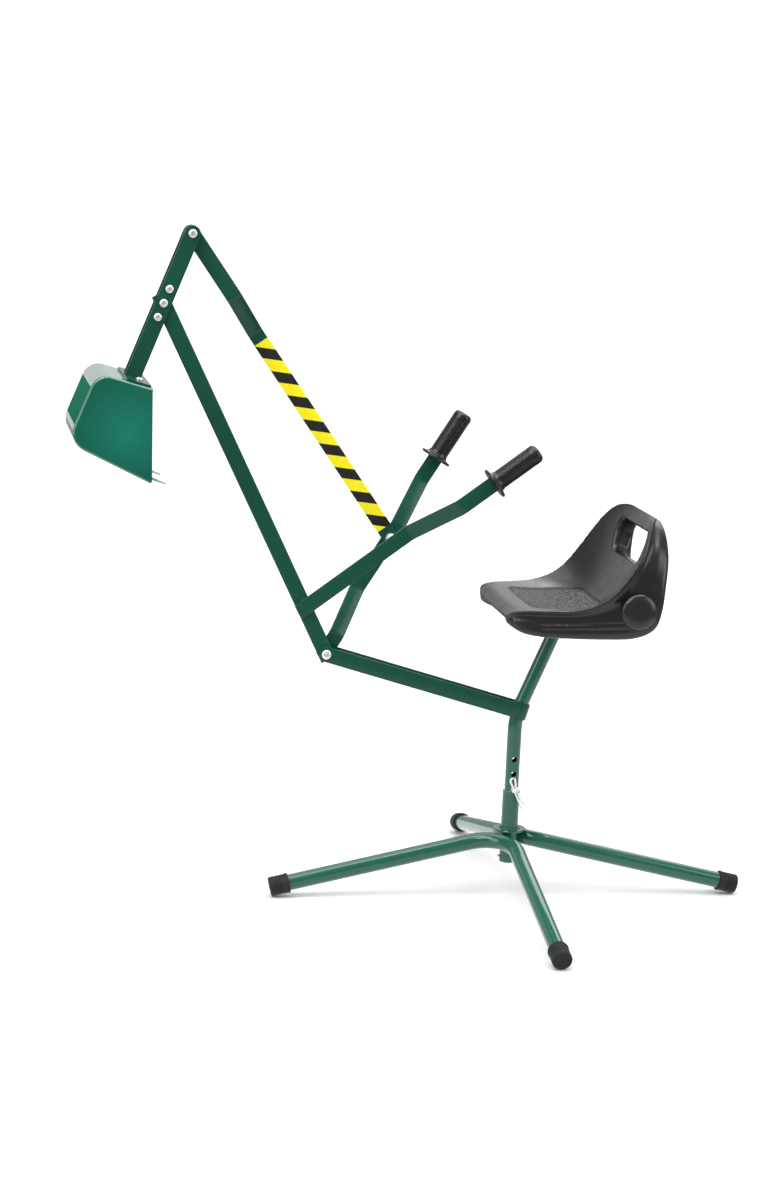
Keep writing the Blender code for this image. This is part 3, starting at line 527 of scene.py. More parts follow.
def bend(start, y0, end, y1, half):
    """The path of a ribbon's joggle from y0 to y1, with a soft bend at each end."""
    reach, steps = 0.006, 10
    slope = (y1 - y0) / (end - start)
    points = []
    for t, y, sign in ((start, y0, 1), (end, y1, -1)):
        for i in range(steps + 1):
            u = -1 + 2 * i / steps
            points.append((t + u * reach, y + sign * (1 + sign * u) ** 2 / 4 * reach * slope, half))
    return points


def cut(obj, bm, name):
    """Takes a shape out of a piece and applies the Boolean at once."""
    bmesh.ops.recalc_face_normals(bm, faces=bm.faces)
    cutter = mesh_object(name, bm)
    modifier = obj.modifiers.new("cut", "BOOLEAN")
    modifier.operation = "DIFFERENCE"
    modifier.solver = "EXACT"
    modifier.object = cutter
    apply_modifiers(obj)
    bpy.data.objects.remove(cutter)


def apply_modifiers(obj):
    bpy.context.view_layer.update()
    graph = bpy.context.evaluated_depsgraph_get()
    made = bpy.data.meshes.new_from_object(obj.evaluated_get(graph))
    old = obj.data
    obj.modifiers.clear()
    obj.data = made
    made.name = obj.name
    bpy.data.meshes.remove(old)


# -------------------- fasteners
def fastener(bolt, origin, body, near=-ARM_FACE, far=ARM_FACE, radius=0.004, head_r=0.0068, flats=0.013,
             axis=Y_AXIS):
    """A button-head bolt with a hexagon socket, and its lock nut, in place of two CAD nodes.

    near and far are the faces that the head and the nut sit on, measured along the axis.
    """
    head_h = 0.62 * radius + 0.0014
    socket = 0.62 * radius * 2
    inner = 0.62 * socket + 0.0003
    top = near - head_h
    bolt_line = [(0.0, top + 0.55 * head_h), (0.3 * socket, top + 0.5 * head_h),
                 (("hex", 0.96 * socket), top + 0.48 * head_h), (("hex", socket), top + 0.25 * head_h),
                 (("hex", socket * 1.04), top + 0.02 * head_h), (inner, top)]
    bolt_line += [(inner + (head_r - inner) * math.sin(a), top + 0.86 * head_h * (1 - math.cos(a)))
                  for a in corner_angles(8, 1)]
    height = 1.5 * radius
    thread, turns = 0.0022, 4
    tip = far + height + 0.0002
    bolt_line += [(head_r, near - 0.0002), (head_r - 0.0002, near), (radius, near), (radius, tip)]
    for i in range(turns):
        bolt_line += [(radius * share, tip + thread / turns * (i + step))
                      for share, step in ((0.9, 0.3), (0.985, 0.8))]
    bolt_line += [(radius * 0.8, tip + thread), (0.0, tip + thread)]
    nut_line = [(radius + 0.0002, far), (0.47 * flats, far), (("hex", flats * 0.99), far + 0.0004),
                (("hex", flats), far + 0.0009), (("hex", flats), far + 0.62 * height)]
    nut_line += [(share * flats, far + up * height)
                 for share, up in ((0.495, 0.68), (0.43, 0.74), (0.42, 0.92), (0.38, 1.0))]
    nut_line.append((radius + 0.0002, far + height))
    for name, line, closed in ((bolt, bolt_line, False), (bolt.replace("bolt", "nut"), nut_line, True)):
        piece(name + "_finished", turned(line, origin, axis, 48, closed), ZINC, body, (name,), 30.0)


# -------------------- base


def foot_cap(name, corner, direction, end):
    """A rubber cap with two grooves round it and a lip at its open end."""
    open_end = end - CAP_LENGTH
    sections = [(0.0, end - 0.001), (0.006, end - 0.0008), (0.0072, end - 0.0002), (CAP_R - 0.003, end)]
    sections += [(CAP_R - 0.003 + 0.0028 * math.sin(a), end - 0.0028 * (1 - math.cos(a)))
                 for a in corner_angles(6, 1)]
    for groove in (0.01, 0.0165):
        sections += [(CAP_R - depth, end - groove + step) for depth, step in
                     ((0.0002, 0.0008), (0.0009, 0.0003), (0.0009, -0.0003), (0.0002, -0.0008))]
    sections += [(CAP_R + proud, open_end + step) for proud, step in
                 ((-0.0002, 0.004), (0.0004, 0.0034), (0.0006, 0.0016), (0.0002, 0.0002), (-0.0008, 0.0))]
    sections += [(LEG_R + 0.0001, open_end + 0.0002), (LEG_R + 0.0001, open_end + 0.01),
                 (0.0, open_end + 0.01)]
    cap = turned(sections, corner, direction)
    piece(name + "_rubber", cap, RUBBER, "base", (name,), 50.0)


def build_legs():
    """Two tubes, each bent once at the middle, with a cap on both ends."""
    corner = Vector((0.0, 0.0, CAP_R * math.cos(LEG_SLOPE) + FOOT_REACH * math.tan(LEG_SLOPE)))
    length = FOOT_REACH / math.cos(LEG_SLOPE)
    for name, side, caps in (("leg_tube_front", -1, ("left", "front")),
                             ("leg_tube_rear", 1, ("right", "back"))):
        first = Vector((side * math.cos(LEG_SLOPE), 0.0, -math.sin(LEG_SLOPE)))
        second = Vector((0.0, side * math.cos(LEG_SLOPE), -math.sin(LEG_SLOPE)))
        half = 0.5 * first.angle(second)
        middle = (first + second).normalized()
        across = (first - second).normalized()
        centre = corner + middle * (LEG_BEND_R / math.sin(half))
        path = [corner + first * (length - 0.004), corner + first * (0.6 * length)]
        for i in range(45):
            a = (math.pi - 2 * half) * (0.5 - i / 44)
            path.append(centre - middle * LEG_BEND_R * math.cos(a) + across * LEG_BEND_R * math.sin(a))
        path += [corner + second * (0.6 * length), corner + second * (length - 0.004)]
        piece(name + "_painted", sweep(path, LEG_R, first.cross(second), 56), LEG_GREEN, "base", (name,))
        for where, direction in zip(caps, (first, second)):
            foot_cap(f"foot_cap_{where}", corner, direction, length)


def build_base():
    def round_piece(name, line):
        return piece(name + "_painted", turned(line, (0, 0, 0), Z_AXIS, 72, True), LEG_GREEN, "base", (name,))

    inner, collar = BASE_R - BASE_WALL, BASE_R + GAP
    tube = round_piece("base_tube", [
        (inner, BASE_BOTTOM_Z), (BASE_R - 0.0004, BASE_BOTTOM_Z), (BASE_R, BASE_BOTTOM_Z + 0.0004),
        (BASE_R, RIM_Z - 0.0005), (BASE_R - 0.0005, RIM_Z), (inner, RIM_Z)])
    cut(tube, turned([(0.0027, -0.03), (0.0027, 0.03)], (0, 0, STUB_BOLT_Z), X_AXIS, 32), "stub_hole")
    low, high = FLANGE_Z, FLANGE_Z + FLANGE_T
    round_piece("base_flange", [
        (collar, low), (FLANGE_R - 0.0008, low), (FLANGE_R, low + 0.0008),
        (FLANGE_R, high - 0.0008), (FLANGE_R - 0.0008, high), (collar, high)])

    for name, z, bead in (("weld_flange_top", high, 0.0021), ("weld_flange_under", low, 0.0018)):
        weld_ring(name, (0, 0, z), Z_AXIS, BASE_R + 0.0006, "base", bead, LEG_GREEN)
    fastener("hub_bolt", (0, 0, STUB_BOLT_Z), "base", -BASE_R - 0.0002, collar, 0.0025, 0.0045, 0.008, X_AXIS)
    for index, side in enumerate((-1, 1)):
        out = Vector((side, side, 0)).normalized()
        run = Vector((side, -side, 0)).normalized()
        for level, bead_z in enumerate((0.0845, 0.1045)):
            start, end = (out * (BASE_R + 0.001) + run * d + Vector((0, 0, bead_z)) for d in (-0.008, 0.008))
            weld_line(f"weld_leg_{index + 1}_{level + 1}", start, end, out, "base", LEG_GREEN)


# -------------------- post, pin and lower arm
def build_post():
    path = [(0.0, POST_BOTTOM_Z), (0.0, POST_BOTTOM_Z + 0.01), (0.0, POST_BEND_START_Z - 0.02)]
    path += arc((POST_BEND_R, POST_BEND_START_Z), POST_BEND_R, math.pi, math.pi - POST_TILT, 40)
    path += [((z - POST_BEND_Z) * math.tan(POST_TILT), z) for z in (POST_TOP_Z - 0.046, POST_TOP_Z + 0.004)]
    path = [at(place) for place in path]
    post = piece("seat_post_painted", sweep(path, POST_R, Y_AXIS, 56, POST_WALL), LEG_GREEN, "seat_unit",
                 ("seat_post",))
    for i in range(3):
        cut(post, turned([(PIN_R + GAP, -0.03), (PIN_R + GAP, 0.03)],
                         (0, 0, PIN_Z + i * HOLE_PITCH), Y_AXIS, 40), "pin_hole")
    shade(post, 40)

    r = PIN_R
    sections = [(0.0, -PIN_HALF), (0.55 * r, -PIN_HALF), (0.92 * r, -PIN_HALF + 0.0011),
                (r, -PIN_HALF + 0.0022), (r, -PIN_HALF + 0.006), (0.94 * r, -PIN_HALF + 0.0063),
                (r, -PIN_HALF + 0.0066), (r, PIN_HALF - 0.0032)]
    sections += [(1.35 * r + 0.45 * r * math.cos(a), PIN_HALF - 0.0016 + 0.0014 * math.sin(a))
                 for a in corner_angles(6)]
    sections.append((0.0, PIN_HALF))
    piece("hitch_pin_plated", turned(sections, (0, 0, PIN_Z), Y_AXIS, 48), ZINC, "pin", ("hitch_pin",),
          35.0)

    lean = math.radians(25)
    down = Vector((math.sin(lean), 0.0, -math.cos(lean)))
    side = Vector((0, 1, 0)).cross(down)
    centre = Vector((0.0, -0.0192, PIN_Z))
    hug = PIN_R + CLIP_R + 0.0006
    flat = [(d, 0.0) for d in (0.034, 0.02, 0.01, 0.0, -0.01, -0.015)]
    flat += arc((-0.015, -0.0042), 0.0042, math.pi / 2, 1.5 * math.pi, 16)[1:-1]
    flat += [(-0.0115, -0.0068), (-0.008, -0.006)]
    flat += arc((0.0, 0.0), hug, math.radians(-145), math.radians(-35), 11)
    flat += [(0.0085, -0.0042), (0.012, -0.0036), (0.018, -0.0037), (0.024, -0.0052), (0.03, -0.0075)]
    path = [centre + down * a + side * b for a, b in flat]
    piece("hitch_clip_plated", sweep(path, CLIP_WIRE_R, Y_AXIS, 20), ZINC, "pin", ("hitch_clip",),
          60.0)


def build_lower_arm():
    tilt = math.radians(15.9)      # of the post, where the arm meets it
    place = (POST_BEND_R * (1 - math.cos(tilt)), POST_BEND_START_Z + POST_BEND_R * math.sin(tilt))
    angle = math.atan2(place[1] - PIVOT_P[1], place[0] - PIVOT_P[0])
    reach = math.dist(place, PIVOT_P)
    half = BAR_W / 2
    middle = HALF_SLOT + STRAP_T / 2
    path = round_end(0.0, -middle, half, 1)
    path += [(reach * 0.5, -middle, half)]
    path += [(x, y, half) for x, y in arc((reach, 0.0), middle, -math.pi / 2, math.pi / 2, 40)]
    path += [(reach * 0.5, middle, half)]
    path += round_end(0.0, middle, half, 1)[::-1]
    piece("lower_arm_painted", ribbon(PIVOT_P, angle, path, STRAP_T), GREEN, "seat_unit", ("lower_arm",))
    fastener("pivot_bolt", at(PIVOT_P), "seat_unit", head_r=0.0076)

    up = Vector((math.sin(tilt), 0.0, math.cos(tilt)))
    for name, offset in (("weld_post_upper", half + 0.0002), ("weld_post_lower", -half - 0.0002)):
        centre = at(place) + up * offset
        weld_ring(name, centre, up, POST_R + 0.0012, "seat_unit", 0.0014)


# -------------------- seat
SEAT_STATIONS = (
    # sitting line x z, rim x z, underside x z, half width
    (-0.0465, 0.4680, -0.0465, 0.4685, -0.0440, 0.4580, 0.100),
    (-0.0400, 0.4765, -0.0410, 0.4790, -0.0350, 0.4520, 0.116),
    (-0.0250, 0.4805, -0.0220, 0.4835, -0.0190, 0.4450, 0.124),
    (0.0100, 0.4795, 0.0120, 0.4845, 0.0120, 0.4408, 0.130),
    (0.0500, 0.4765, 0.0420, 0.4860, 0.0500, 0.4400, 0.137),
    (0.0890, 0.4785, 0.0720, 0.4930, 0.1000, 0.4400, 0.144),
    (0.1180, 0.4880, 0.0960, 0.5060, 0.1480, 0.4430, 0.150),
    (0.1390, 0.5050, 0.1140, 0.5240, 0.1780, 0.4580, 0.154),
    (0.1530, 0.5280, 0.1290, 0.5440, 0.1880, 0.4870, 0.154),
    (0.1635, 0.5535, 0.1440, 0.5675, 0.1920, 0.5270, 0.150),
    (0.1715, 0.5790, 0.1560, 0.5895, 0.1960, 0.5620, 0.138),
    (0.1785, 0.6010, 0.1660, 0.6085, 0.1980, 0.5880, 0.116),
    (0.1840, 0.6135, 0.1750, 0.6185, 0.1980, 0.6040, 0.094),
    (0.1900, 0.6195, 0.1860, 0.6215, 0.1960, 0.6140, 0.072),
)


def smooth_rows(rows, steps):
    rows = [rows[0], *rows, rows[-1]]
    made = []
    for i in range(1, len(rows) - 2):
        for j in range(steps):
            t = j / steps
            made.append([0.5 * (2 * b + (c - a) * t + (2 * a - 5 * b + 4 * c - d) * t * t
                                + (3 * b - a - 3 * c + d) * t ** 3)
                         for a, b, c, d in zip(*rows[i - 1:i + 3])])
    made.append(list(rows[-1]))
    return made


def ease(t):
    t = min(max(t, 0.0), 1.0)
    return t * t * (3 - 2 * t)


def seat_section(row, inset=0.0, shrink=0.0):
    """One closed section of the moulded seat: over the sitting surface, down a waisted side, and back."""
    sit, rim, low = Vector(row[0:2]), Vector(row[2:4]), Vector(row[4:6])
    half = row[6] - inset
    down = (low - sit).normalized()
    sit = sit + down * inset
    rim = rim + down * inset * 1.4
    middle = (sit + low) / 2
    points = []
    top = 41
    for i in range(top):
        t = -1 + 2 * i / (top - 1)
        t = math.copysign(abs(t) ** 0.85, t)
        place = sit + (rim - sit) * abs(t) ** 2.6
        points.append((place, half * t))
    wall_low = low + (rim - sit) * 0.12
    wall = []
    for i in range(1, 31):
        u = i / 31
        rise = 1.0 if inset else ease(u / 0.16 - 0.3)
        waist = 0.005 * rise * (1 - 0.85 * ease((u - 0.24) / 0.34))
        tuck = 0.006 * max(0.0, (u - 0.8) / 0.2) ** 2
        wall.append((rim + (wall_low - rim) * u, half - waist - tuck))
    floor_half = half - 0.006
    points += wall
    points += [(low + (wall_low - low) * abs(t), floor_half * t)
               for t in (0.96, 0.8, 0.5, 0.25, 0.0, -0.25, -0.5, -0.8, -0.96)]
    points += [(place, -y) for place, y in wall[::-1]]
    points = [(place + (middle - place) * shrink, y * (1 - 0.35 * shrink)) for place, y in points]
    return [(place.x, y, place.y) for place, y in points]


def pad_distance(x, y):
    """Signed distance to the pad's outline in plan; negative inside."""
    front, rear, half = -0.002, 0.112, 0.09
    corner = 0.006 if x < 0.045 else 0.052
    centre = (front + rear) / 2
    qx = abs(x - centre) - (rear - front) / 2 + corner
    qy = abs(y) - half + corner
    outside = math.hypot(max(qx, 0.0), max(qy, 0.0))
    return outside + min(max(qx, qy), 0.0) - corner


def build_seat():
    rows = smooth_rows(SEAT_STATIONS, 8)
    rings = [seat_section(rows[0], shrink=0.55), seat_section(rows[0], shrink=0.2)]
    rings += [seat_section(row) for row in rows]
    rings += [seat_section(rows[-1], shrink=0.25), seat_section(rows[-1], shrink=0.6)]
    seat = piece("seat_moulding", skin(rings), SEAT, "seat_unit", ("seat_shell",))

    hollow = []
    for row in smooth_rows(SEAT_STATIONS, 4)[2:-19]:
        sit, low = Vector(row[0:2]), Vector(row[4:6])
        drop = (low - sit).normalized() * (0.02 - 0.0265 * ease((low.x - 0.15) / 0.03))
        hollow.append([*row[:4], low.x + drop.x, low.y + drop.y, row[6]])
    cut(seat, skin([seat_section(row, 0.0055) for row in hollow]), "seat_hollow")
    arch = rounded([(0.0, 0.4), (0.09, 0.4), (0.09, 0.4645), (-0.09, 0.4645), (-0.09, 0.4),
                    (0.0, 0.4)], [0.004, 0.014, 0.014, 0.004], 8)[:-1]
    cut(seat, skin([[(x, y * share, z) for y, z in arch] for x, share in ((-0.08, 0.72), (0.0, 1.34))]),
        "seat_front_arch")

    lean = Vector((0.36, 0.0, 1.0)).normalized()
    through = Vector((1.0, 0.0, -0.36)).normalized()
    middle = Vector((0.18, 0.0, 0.568))
    corners = rounded([(0.0, 0.026), (0.086, 0.026), (0.07, -0.026), (-0.07, -0.026), (-0.086, 0.026),
                       (0.0, 0.026)], [0.02] * 4, 10)[:-1]
    rings = [[middle + through * distance + Vector((0, 1, 0)) * y * (1 + grow / 0.08)
              + lean * v * (1 + grow / 0.027) for y, v in corners]
             for distance, grow in ((-0.05, 0.03), (-0.018, 0.006), (-0.013, 0.002), (-0.007, 0.0),
                                    (0.011, 0.0), (0.016, 0.003), (0.05, 0.022))]
    cut(seat, skin(rings), "seat_handle_hole")

    remesh = seat.modifiers.new("mould", "REMESH")
    remesh.mode = "VOXEL"
    remesh.voxel_size = 0.0014
    remesh.use_smooth_shade = True
    soften = seat.modifiers.new("soften", "SMOOTH")
    soften.factor = 0.5
    soften.iterations = 7
    apply_modifiers(seat)
    mesh = seat.data
    if not mesh.materials:
        mesh.materials.append(SEAT)
    spots = [(v.co.copy(), v.normal.copy()) for v in mesh.vertices]
    amounts, moved = [], []
    for spot, normal in spots:
        x, y, z = spot.x - POST_X, spot.y, spot.z
        inside = 0.0
        if normal.z > 0.35 and z > 0.4665 and x < 0.125:
            distance = pad_distance(x, y)
            inside = min(1.0, max(0.0, -distance / 0.006 + 0.5))
            edge = math.exp(-(distance / 0.0024) ** 2)
            spot = spot - normal * (0.0014 * edge + 0.0017 * inside)
        elif abs(normal.y) > 0.6 and 0.0 < x < 0.15 and z < 0.475:
            for foot, start, end in ((0.4635, -0.006, 0.126), (0.4535, 0.002, 0.133)):
                ends = ease((x - start) / 0.004) * ease((end - x) / 0.004)
                depth = math.exp(-((z - foot - 0.05 * x) / 0.0015) ** 2)
                spot = spot - normal * (0.0014 * depth * ends)
        amounts.append(inside)
        moved.extend(spot)
    mesh.vertices.foreach_set("co", moved)
    mask = mesh.attributes.new("pad", "FLOAT", "POINT")
    mask.data.foreach_set("value", amounts)
    mesh.update()
    shade(seat)

    for name, side in (("seat_boss_near", -1), ("seat_boss_far", 1)):
        sections = [(0.0, BOSS_BASE - 0.004), (BOSS_R - 0.0005, BOSS_BASE - 0.004), (BOSS_R, BOSS_BASE)]
        sections += [(BOSS_R * math.cos(a) ** 0.55 + POLE_R,
                      BOSS_BASE + 0.0018 + (BOSS_CROWN - 0.0018) * math.sin(a) ** 1.3)
                     for a in corner_angles(14, 1)]
        sections.append((0.0, BOSS_BASE + BOSS_CROWN))
        piece(name + "_cap", turned(sections, at(BOSS), (0, side, 0), 96), PLASTIC, "seat_unit", (name,),
              60.0)


# -------------------- boom, handles and link
def build_boom():
    angle = math.atan2(PIVOT_M[1] - PIVOT_P[1], PIVOT_M[0] - PIVOT_P[0])
    near = -HALF_SLOT + 0.0004
    half = BAR_W / 2
    foot, top = -BOOM_FOOT, math.dist(PIVOT_P, PIVOT_M) + BOOM_TOP
    rings = [bar_ring(PIVOT_P, angle, distance, near + BOOM_T / 2,
                      bar_section(half - shrink, BOOM_T / 2 - shrink, radius, 5))
             for distance, shrink, radius in (
                 (foot, 0.0002, 0.0018), (foot + 0.0002, 0.0, 0.002), (top - 0.0002, 0.0, 0.002),
                 (top, 0.0002, 0.0018), (top, BOOM_WALL, 0.001), (foot, BOOM_WALL, 0.001))]
    piece("boom_painted", skin(rings, closed_path=True), GREEN, "boom", ("boom",))

    root = along(PIVOT_P, angle, HANDLE_ROOT)
    crossing = half / math.sin(angle - HANDLE_ANGLE)
    path = [(-crossing - 0.001, HANDLE_Y, half), (0.1, HANDLE_Y, half)]
    path += bend(0.1975, HANDLE_Y, 0.28, HANDLE_GRIP_Y, half)
    path += [(HANDLE_GRIP_AT + 0.06, HANDLE_GRIP_Y, half)]
    bar = piece("handle_bar_painted", ribbon(root, HANDLE_ANGLE, path, BAR_T), GREEN, "boom", ("handle_bar",))
    trim = [along(PIVOT_P, angle, HANDLE_ROOT + d, half + s)
            for d, s in ((-0.06, 0.0008), (0.06, 0.0008), (0.06, 0.04), (-0.06, 0.04))]
    cut(bar, skin([[(x, y, z) for x, z in trim] for y in (-0.03, 0.0)]), "handle_trim")
    shade(bar, 40)
    add_grip("handle_grip", root, HANDLE_ANGLE, HANDLE_GRIP_AT, HANDLE_GRIP_Y, "boom")

    for index, side in enumerate((half, -half)):
        start, end = (at(along(root, HANDLE_ANGLE, distance, side), near - 0.0004)
                      for distance in (-crossing + 0.012, crossing * 0.8))
        weld_line(f"weld_handle_{index + 1}", start, end, Y_AXIS, "boom")


def add_grip(name, start, angle, distance, y, body):
    """A ribbed rubber grip with a round guard."""
    sections = [(0.0, -0.0016), (0.015, -0.0018), (GUARD_R - 0.0022, -0.002)]
    sections += arc((GUARD_R - 0.0022, 0.0003), 0.0022, -math.pi / 2, math.pi / 2, 8)
    sections += [(0.02, 0.003), (GRIP_R + 0.0016, 0.0042), (GRIP_R + 0.0004, 0.0062), (GRIP_R, 0.0085)]
    end = GRIP_LENGTH
    ribs, first, last = 21, 0.0105, end - 0.0165
    pitch = (last - first) / ribs
    for i in range(ribs):
        sections += [(GRIP_R - depth, first + pitch * (i + share)) for depth, share in (
            (0.0011, 0.0), (0.0011, 0.22), (0.0002, 0.36), (0.0, 0.5), (0.0, 0.72), (0.0003, 0.88))]
    sections += [(GRIP_R - 0.0009, last), (GRIP_R - 0.0004, last + 0.0012), (GRIP_R - 0.0003, last + 0.006)]
    sections += [(GRIP_R - 0.0075 + 0.007 * math.cos(a), end - 0.007 + 0.0068 * math.sin(a))
                 for a in corner_angles(12)]
    sections += [(0.006, end - 0.0002), (0.004, end - 0.0008), (0.0, end - 0.001)]
    grip = turned(sections, at(along(start, angle, distance), y), (math.cos(angle), 0.0, math.sin(angle)), 72)
    piece(name + "_ribbed", grip, GRIP, body, (name,), 55.0)


def build_lever():
    half = BAR_W / 2
    path = round_end(0.0, LEVER_Y, half, 1)
    path += bend(0.034, LEVER_Y, 0.108, LEVER_MID_Y, half)
    path += bend(0.222, LEVER_MID_Y, 0.304, LEVER_GRIP_Y, half)
    path += [(LEVER_GRIP_AT + 0.06, LEVER_GRIP_Y, half)]
    piece("lever_bar_painted", ribbon(PIVOT_P, LEVER_ANGLE, path, BAR_T), GREEN, "lever", ("lever_bar",))
    add_grip("lever_grip", PIVOT_P, LEVER_ANGLE, LEVER_GRIP_AT, LEVER_GRIP_Y, "lever")


def build_link():
    low_pivot = along(PIVOT_P, LEVER_ANGLE, LEVER_Q)
    angle = math.atan2(low_pivot[1] - PIVOT_T[1], low_pivot[0] - PIVOT_T[0])
    length = math.dist(PIVOT_T, low_pivot)
    half = BAR_W / 2
    path = round_end(0.0, 0.0, half, 1)
    path += bend(0.114, 0.0, 0.184, LINK_Y, half)
    path += [(0.5 * length, LINK_Y, half)]
    path += round_end(length, LINK_Y, half, -1)
    bar = piece("link_bar_painted", ribbon(PIVOT_T, angle, path, BAR_T), GREEN, "link", ("link_bar",))
    cut(bar, turned([(0.009, -0.01), (0.009, 0.01)], at(PIVOT_T), Y_AXIS, 48), "link_eye")
    shade(bar, 40)
    washer = 0.0015
    fastener("link_bolt_low", at(low_pivot), "link", LINK_Y - BAR_T / 2 - washer - GAP,
             LEVER_MID_Y + BAR_T / 2 + GAP)

    film = 0.00025
    rings = [bar_ring(PIVOT_T, angle, place, LINK_Y, bar_section(half + proud, BAR_T / 2 + proud, 0.0008, 4))
             for place, proud in ((TAPE_START, 0.0), (TAPE_START, film), (TAPE_END, film), (TAPE_END, 0.0))]
    run = Vector((math.cos(angle), 0.0, math.sin(angle)))
    across = Vector((-math.sin(angle), 0.0, math.cos(angle)))
    tape = striped_tape(at(PIVOT_T, LINK_Y) + Vector((POST_X, 0, 0)), run, across)
    piece("link_tape", skin(rings), tape, "link", ())


# -------------------- bucket
def inward(line, distance):
    moved = []
    for i, point in enumerate(line):
        before, after = Vector(line[max(i - 1, 0)]), Vector(line[min(i + 1, len(line) - 1)])
        run = (after - before).normalized()
        moved.append((point[0] - run.y * distance, point[1] + run.x * distance))
    return moved


def sheet(name, bm, out, mats):
    """A plate of the bucket from its open outer surface, whose first face looks along out."""
    bm.normal_update()
    bm.faces.ensure_lookup_table()
    if bm.faces[0].normal.dot(out) < 0:
        bmesh.ops.reverse_faces(bm, faces=bm.faces)
    obj = piece(name + "_pressed", bm, mats[0], "bucket", (name,), fix_normals=False)
    obj.data.materials.append(mats[1])
    return obj


def thicken(obj):
    plate = obj.modifiers.new("plate", "SOLIDIFY")
    plate.thickness = SHEET_T
    plate.offset = -1.0
    apply_modifiers(obj)
    shade(obj, 45)


def build_bucket():
    """One powder coat in four lit and shaded copies: the sides carry a painted highlight patch, the near rims
    and the shell are lighter, glossier copies as painted highlights, and the shell's flat back and the far
    rims get a matte copy without reflections as painted shade.
    """
    line = rounded([BUCKET_MOUTH_TOP, BUCKET_BACK_TOP, BUCKET_BACK_FOOT, BUCKET_LIP], [0.026, 0.03], 16)
    edge, steps = 0.0042, 8
    # the sides' coat, with a painted highlight: a lighter patch on the near side
    side_coat_with_highlight = paint("bucket_powder_coat_painted_highlight", (0.0055, 0.098, 0.062), (0.007, 0.108, 0.069), (0.2, 0.3),
                      glow=((POST_X - 0.628, -BUCKET_HALF, 0.735), 0.085, (0.008, 0.188, 0.13)),
                      specular=0.12, coat=0.15)
    # painted highlight: a lighter, glossier copy of the coat for the near rims
    rim_painted_highlight = paint("bucket_rim_painted_highlight", (0.012, 0.135, 0.088), (0.015, 0.15, 0.098), (0.1, 0.16),
                     specular=0.5, coat=1.0)
    # painted shade: a matte copy with no reflection, for the shell's flat back and the far rims
    painted_shade_coat = paint("bucket_back_painted_shade", (0.015, 0.115, 0.07), (0.018, 0.13, 0.08),
                      specular=0.0, coat=0.0)
    # painted highlight: a lighter, glossier copy of the coat for the shell
    shell_painted_highlight = paint("bucket_shell_painted_highlight", (0.01, 0.115, 0.073), (0.012, 0.128, 0.082), (0.12, 0.2),
                       specular=0.3, coat=0.6)

    def ring(step):
        a = math.radians(90 * step / steps)
        return inward(line, edge * (1 - math.sin(a))), BUCKET_HALF - edge * (1 - math.cos(a))

    for name, side in (("bucket_side_near", -1), ("bucket_side_far", 1)):
        bm = bmesh.new()
        rows = []
        for step in range(steps + 1):
            outline, y = ring(step)
            rows.append([bm.verts.new((x, side * y, z)) for x, z in outline])
        bm.faces.new(rows[0] if side > 0 else rows[0][::-1])
        join_rows(bm, rows, flip=side > 0)
        obj = sheet(name, bm, Vector((0, side, 0)), (side_coat_with_highlight, rim_painted_highlight if side < 0 else painted_shade_coat))
        # rim faces: the painted highlight copy on the near side, the painted shade copy on the far side
        for face in obj.data.polygons:
            if abs(face.normal.y) < 0.98:
                face.material_index = 1
        thicken(obj)

    outline, y = ring(steps)
    bm = bmesh.new()
    join_rows(bm, [[bm.verts.new((x, y * share, z)) for x, z in outline] for share in (-1, -0.5, 0, 0.5, 1)])
    shell = sheet("bucket_shell", bm, Vector(Z_AXIS), (shell_painted_highlight, painted_shade_coat))
    thicken(shell)
    flat = Vector(BUCKET_BACK_FOOT) - Vector(BUCKET_BACK_TOP)
    facing = Vector((flat.y, 0.0, -flat.x)).normalized()
    # the shell's flat back gets the painted shade copy
    for face in shell.data.polygons:
        if face.normal.dot(facing) > 0.9995:
            face.material_index = 1

def build_teeth():
    """Forged steel teeth with a crowned top, on the CAD teeth's centre line."""
    floor = Vector(BUCKET_LIP) - Vector(BUCKET_BACK_FOOT)
    level = math.atan2(floor.y, floor.x)
    dip = level + math.radians(7)
    knee = along(BUCKET_LIP, level, 0.001, SHEET_T + GAP)
    # place, angle, half width, thickness and crown of each section
    stations = [(along(BUCKET_LIP, level, -0.032, SHEET_T + GAP), level, TOOTH_HALF, 0.0028, 0.0),
                (along(BUCKET_LIP, level, -0.006, SHEET_T + GAP), level, TOOTH_HALF, 0.0036, 0.0012)]
    for share in (0.0, 0.2, 0.4, 0.6, 0.8, 0.92, 0.985):
        stations.append((along(knee, dip, TOOTH_LENGTH * share), dip, TOOTH_HALF - 0.0055 * share ** 2.2,
                         0.004 - 0.002 * share, 0.0024 * math.cos(share * math.pi / 2)))
    for name, middle in (("tooth_near", -TOOTH_Y), ("tooth_far", TOOTH_Y)):
        rings = []
        for place, angle, half, thick, crown in stations:
            ring = []
            for across, up in bar_section(half, thick / 2, 0.0006, 3):
                lift = crown * (1 - (across / half) ** 2) if up > 0 else 0.0
                x, z = along(place, angle, 0.0, up + thick / 2 + lift)
                ring.append((x, middle + across, z))
            rings.append(ring)
        piece(name + "_forged", skin(rings), STEEL, "bucket", (name,), 35.0)


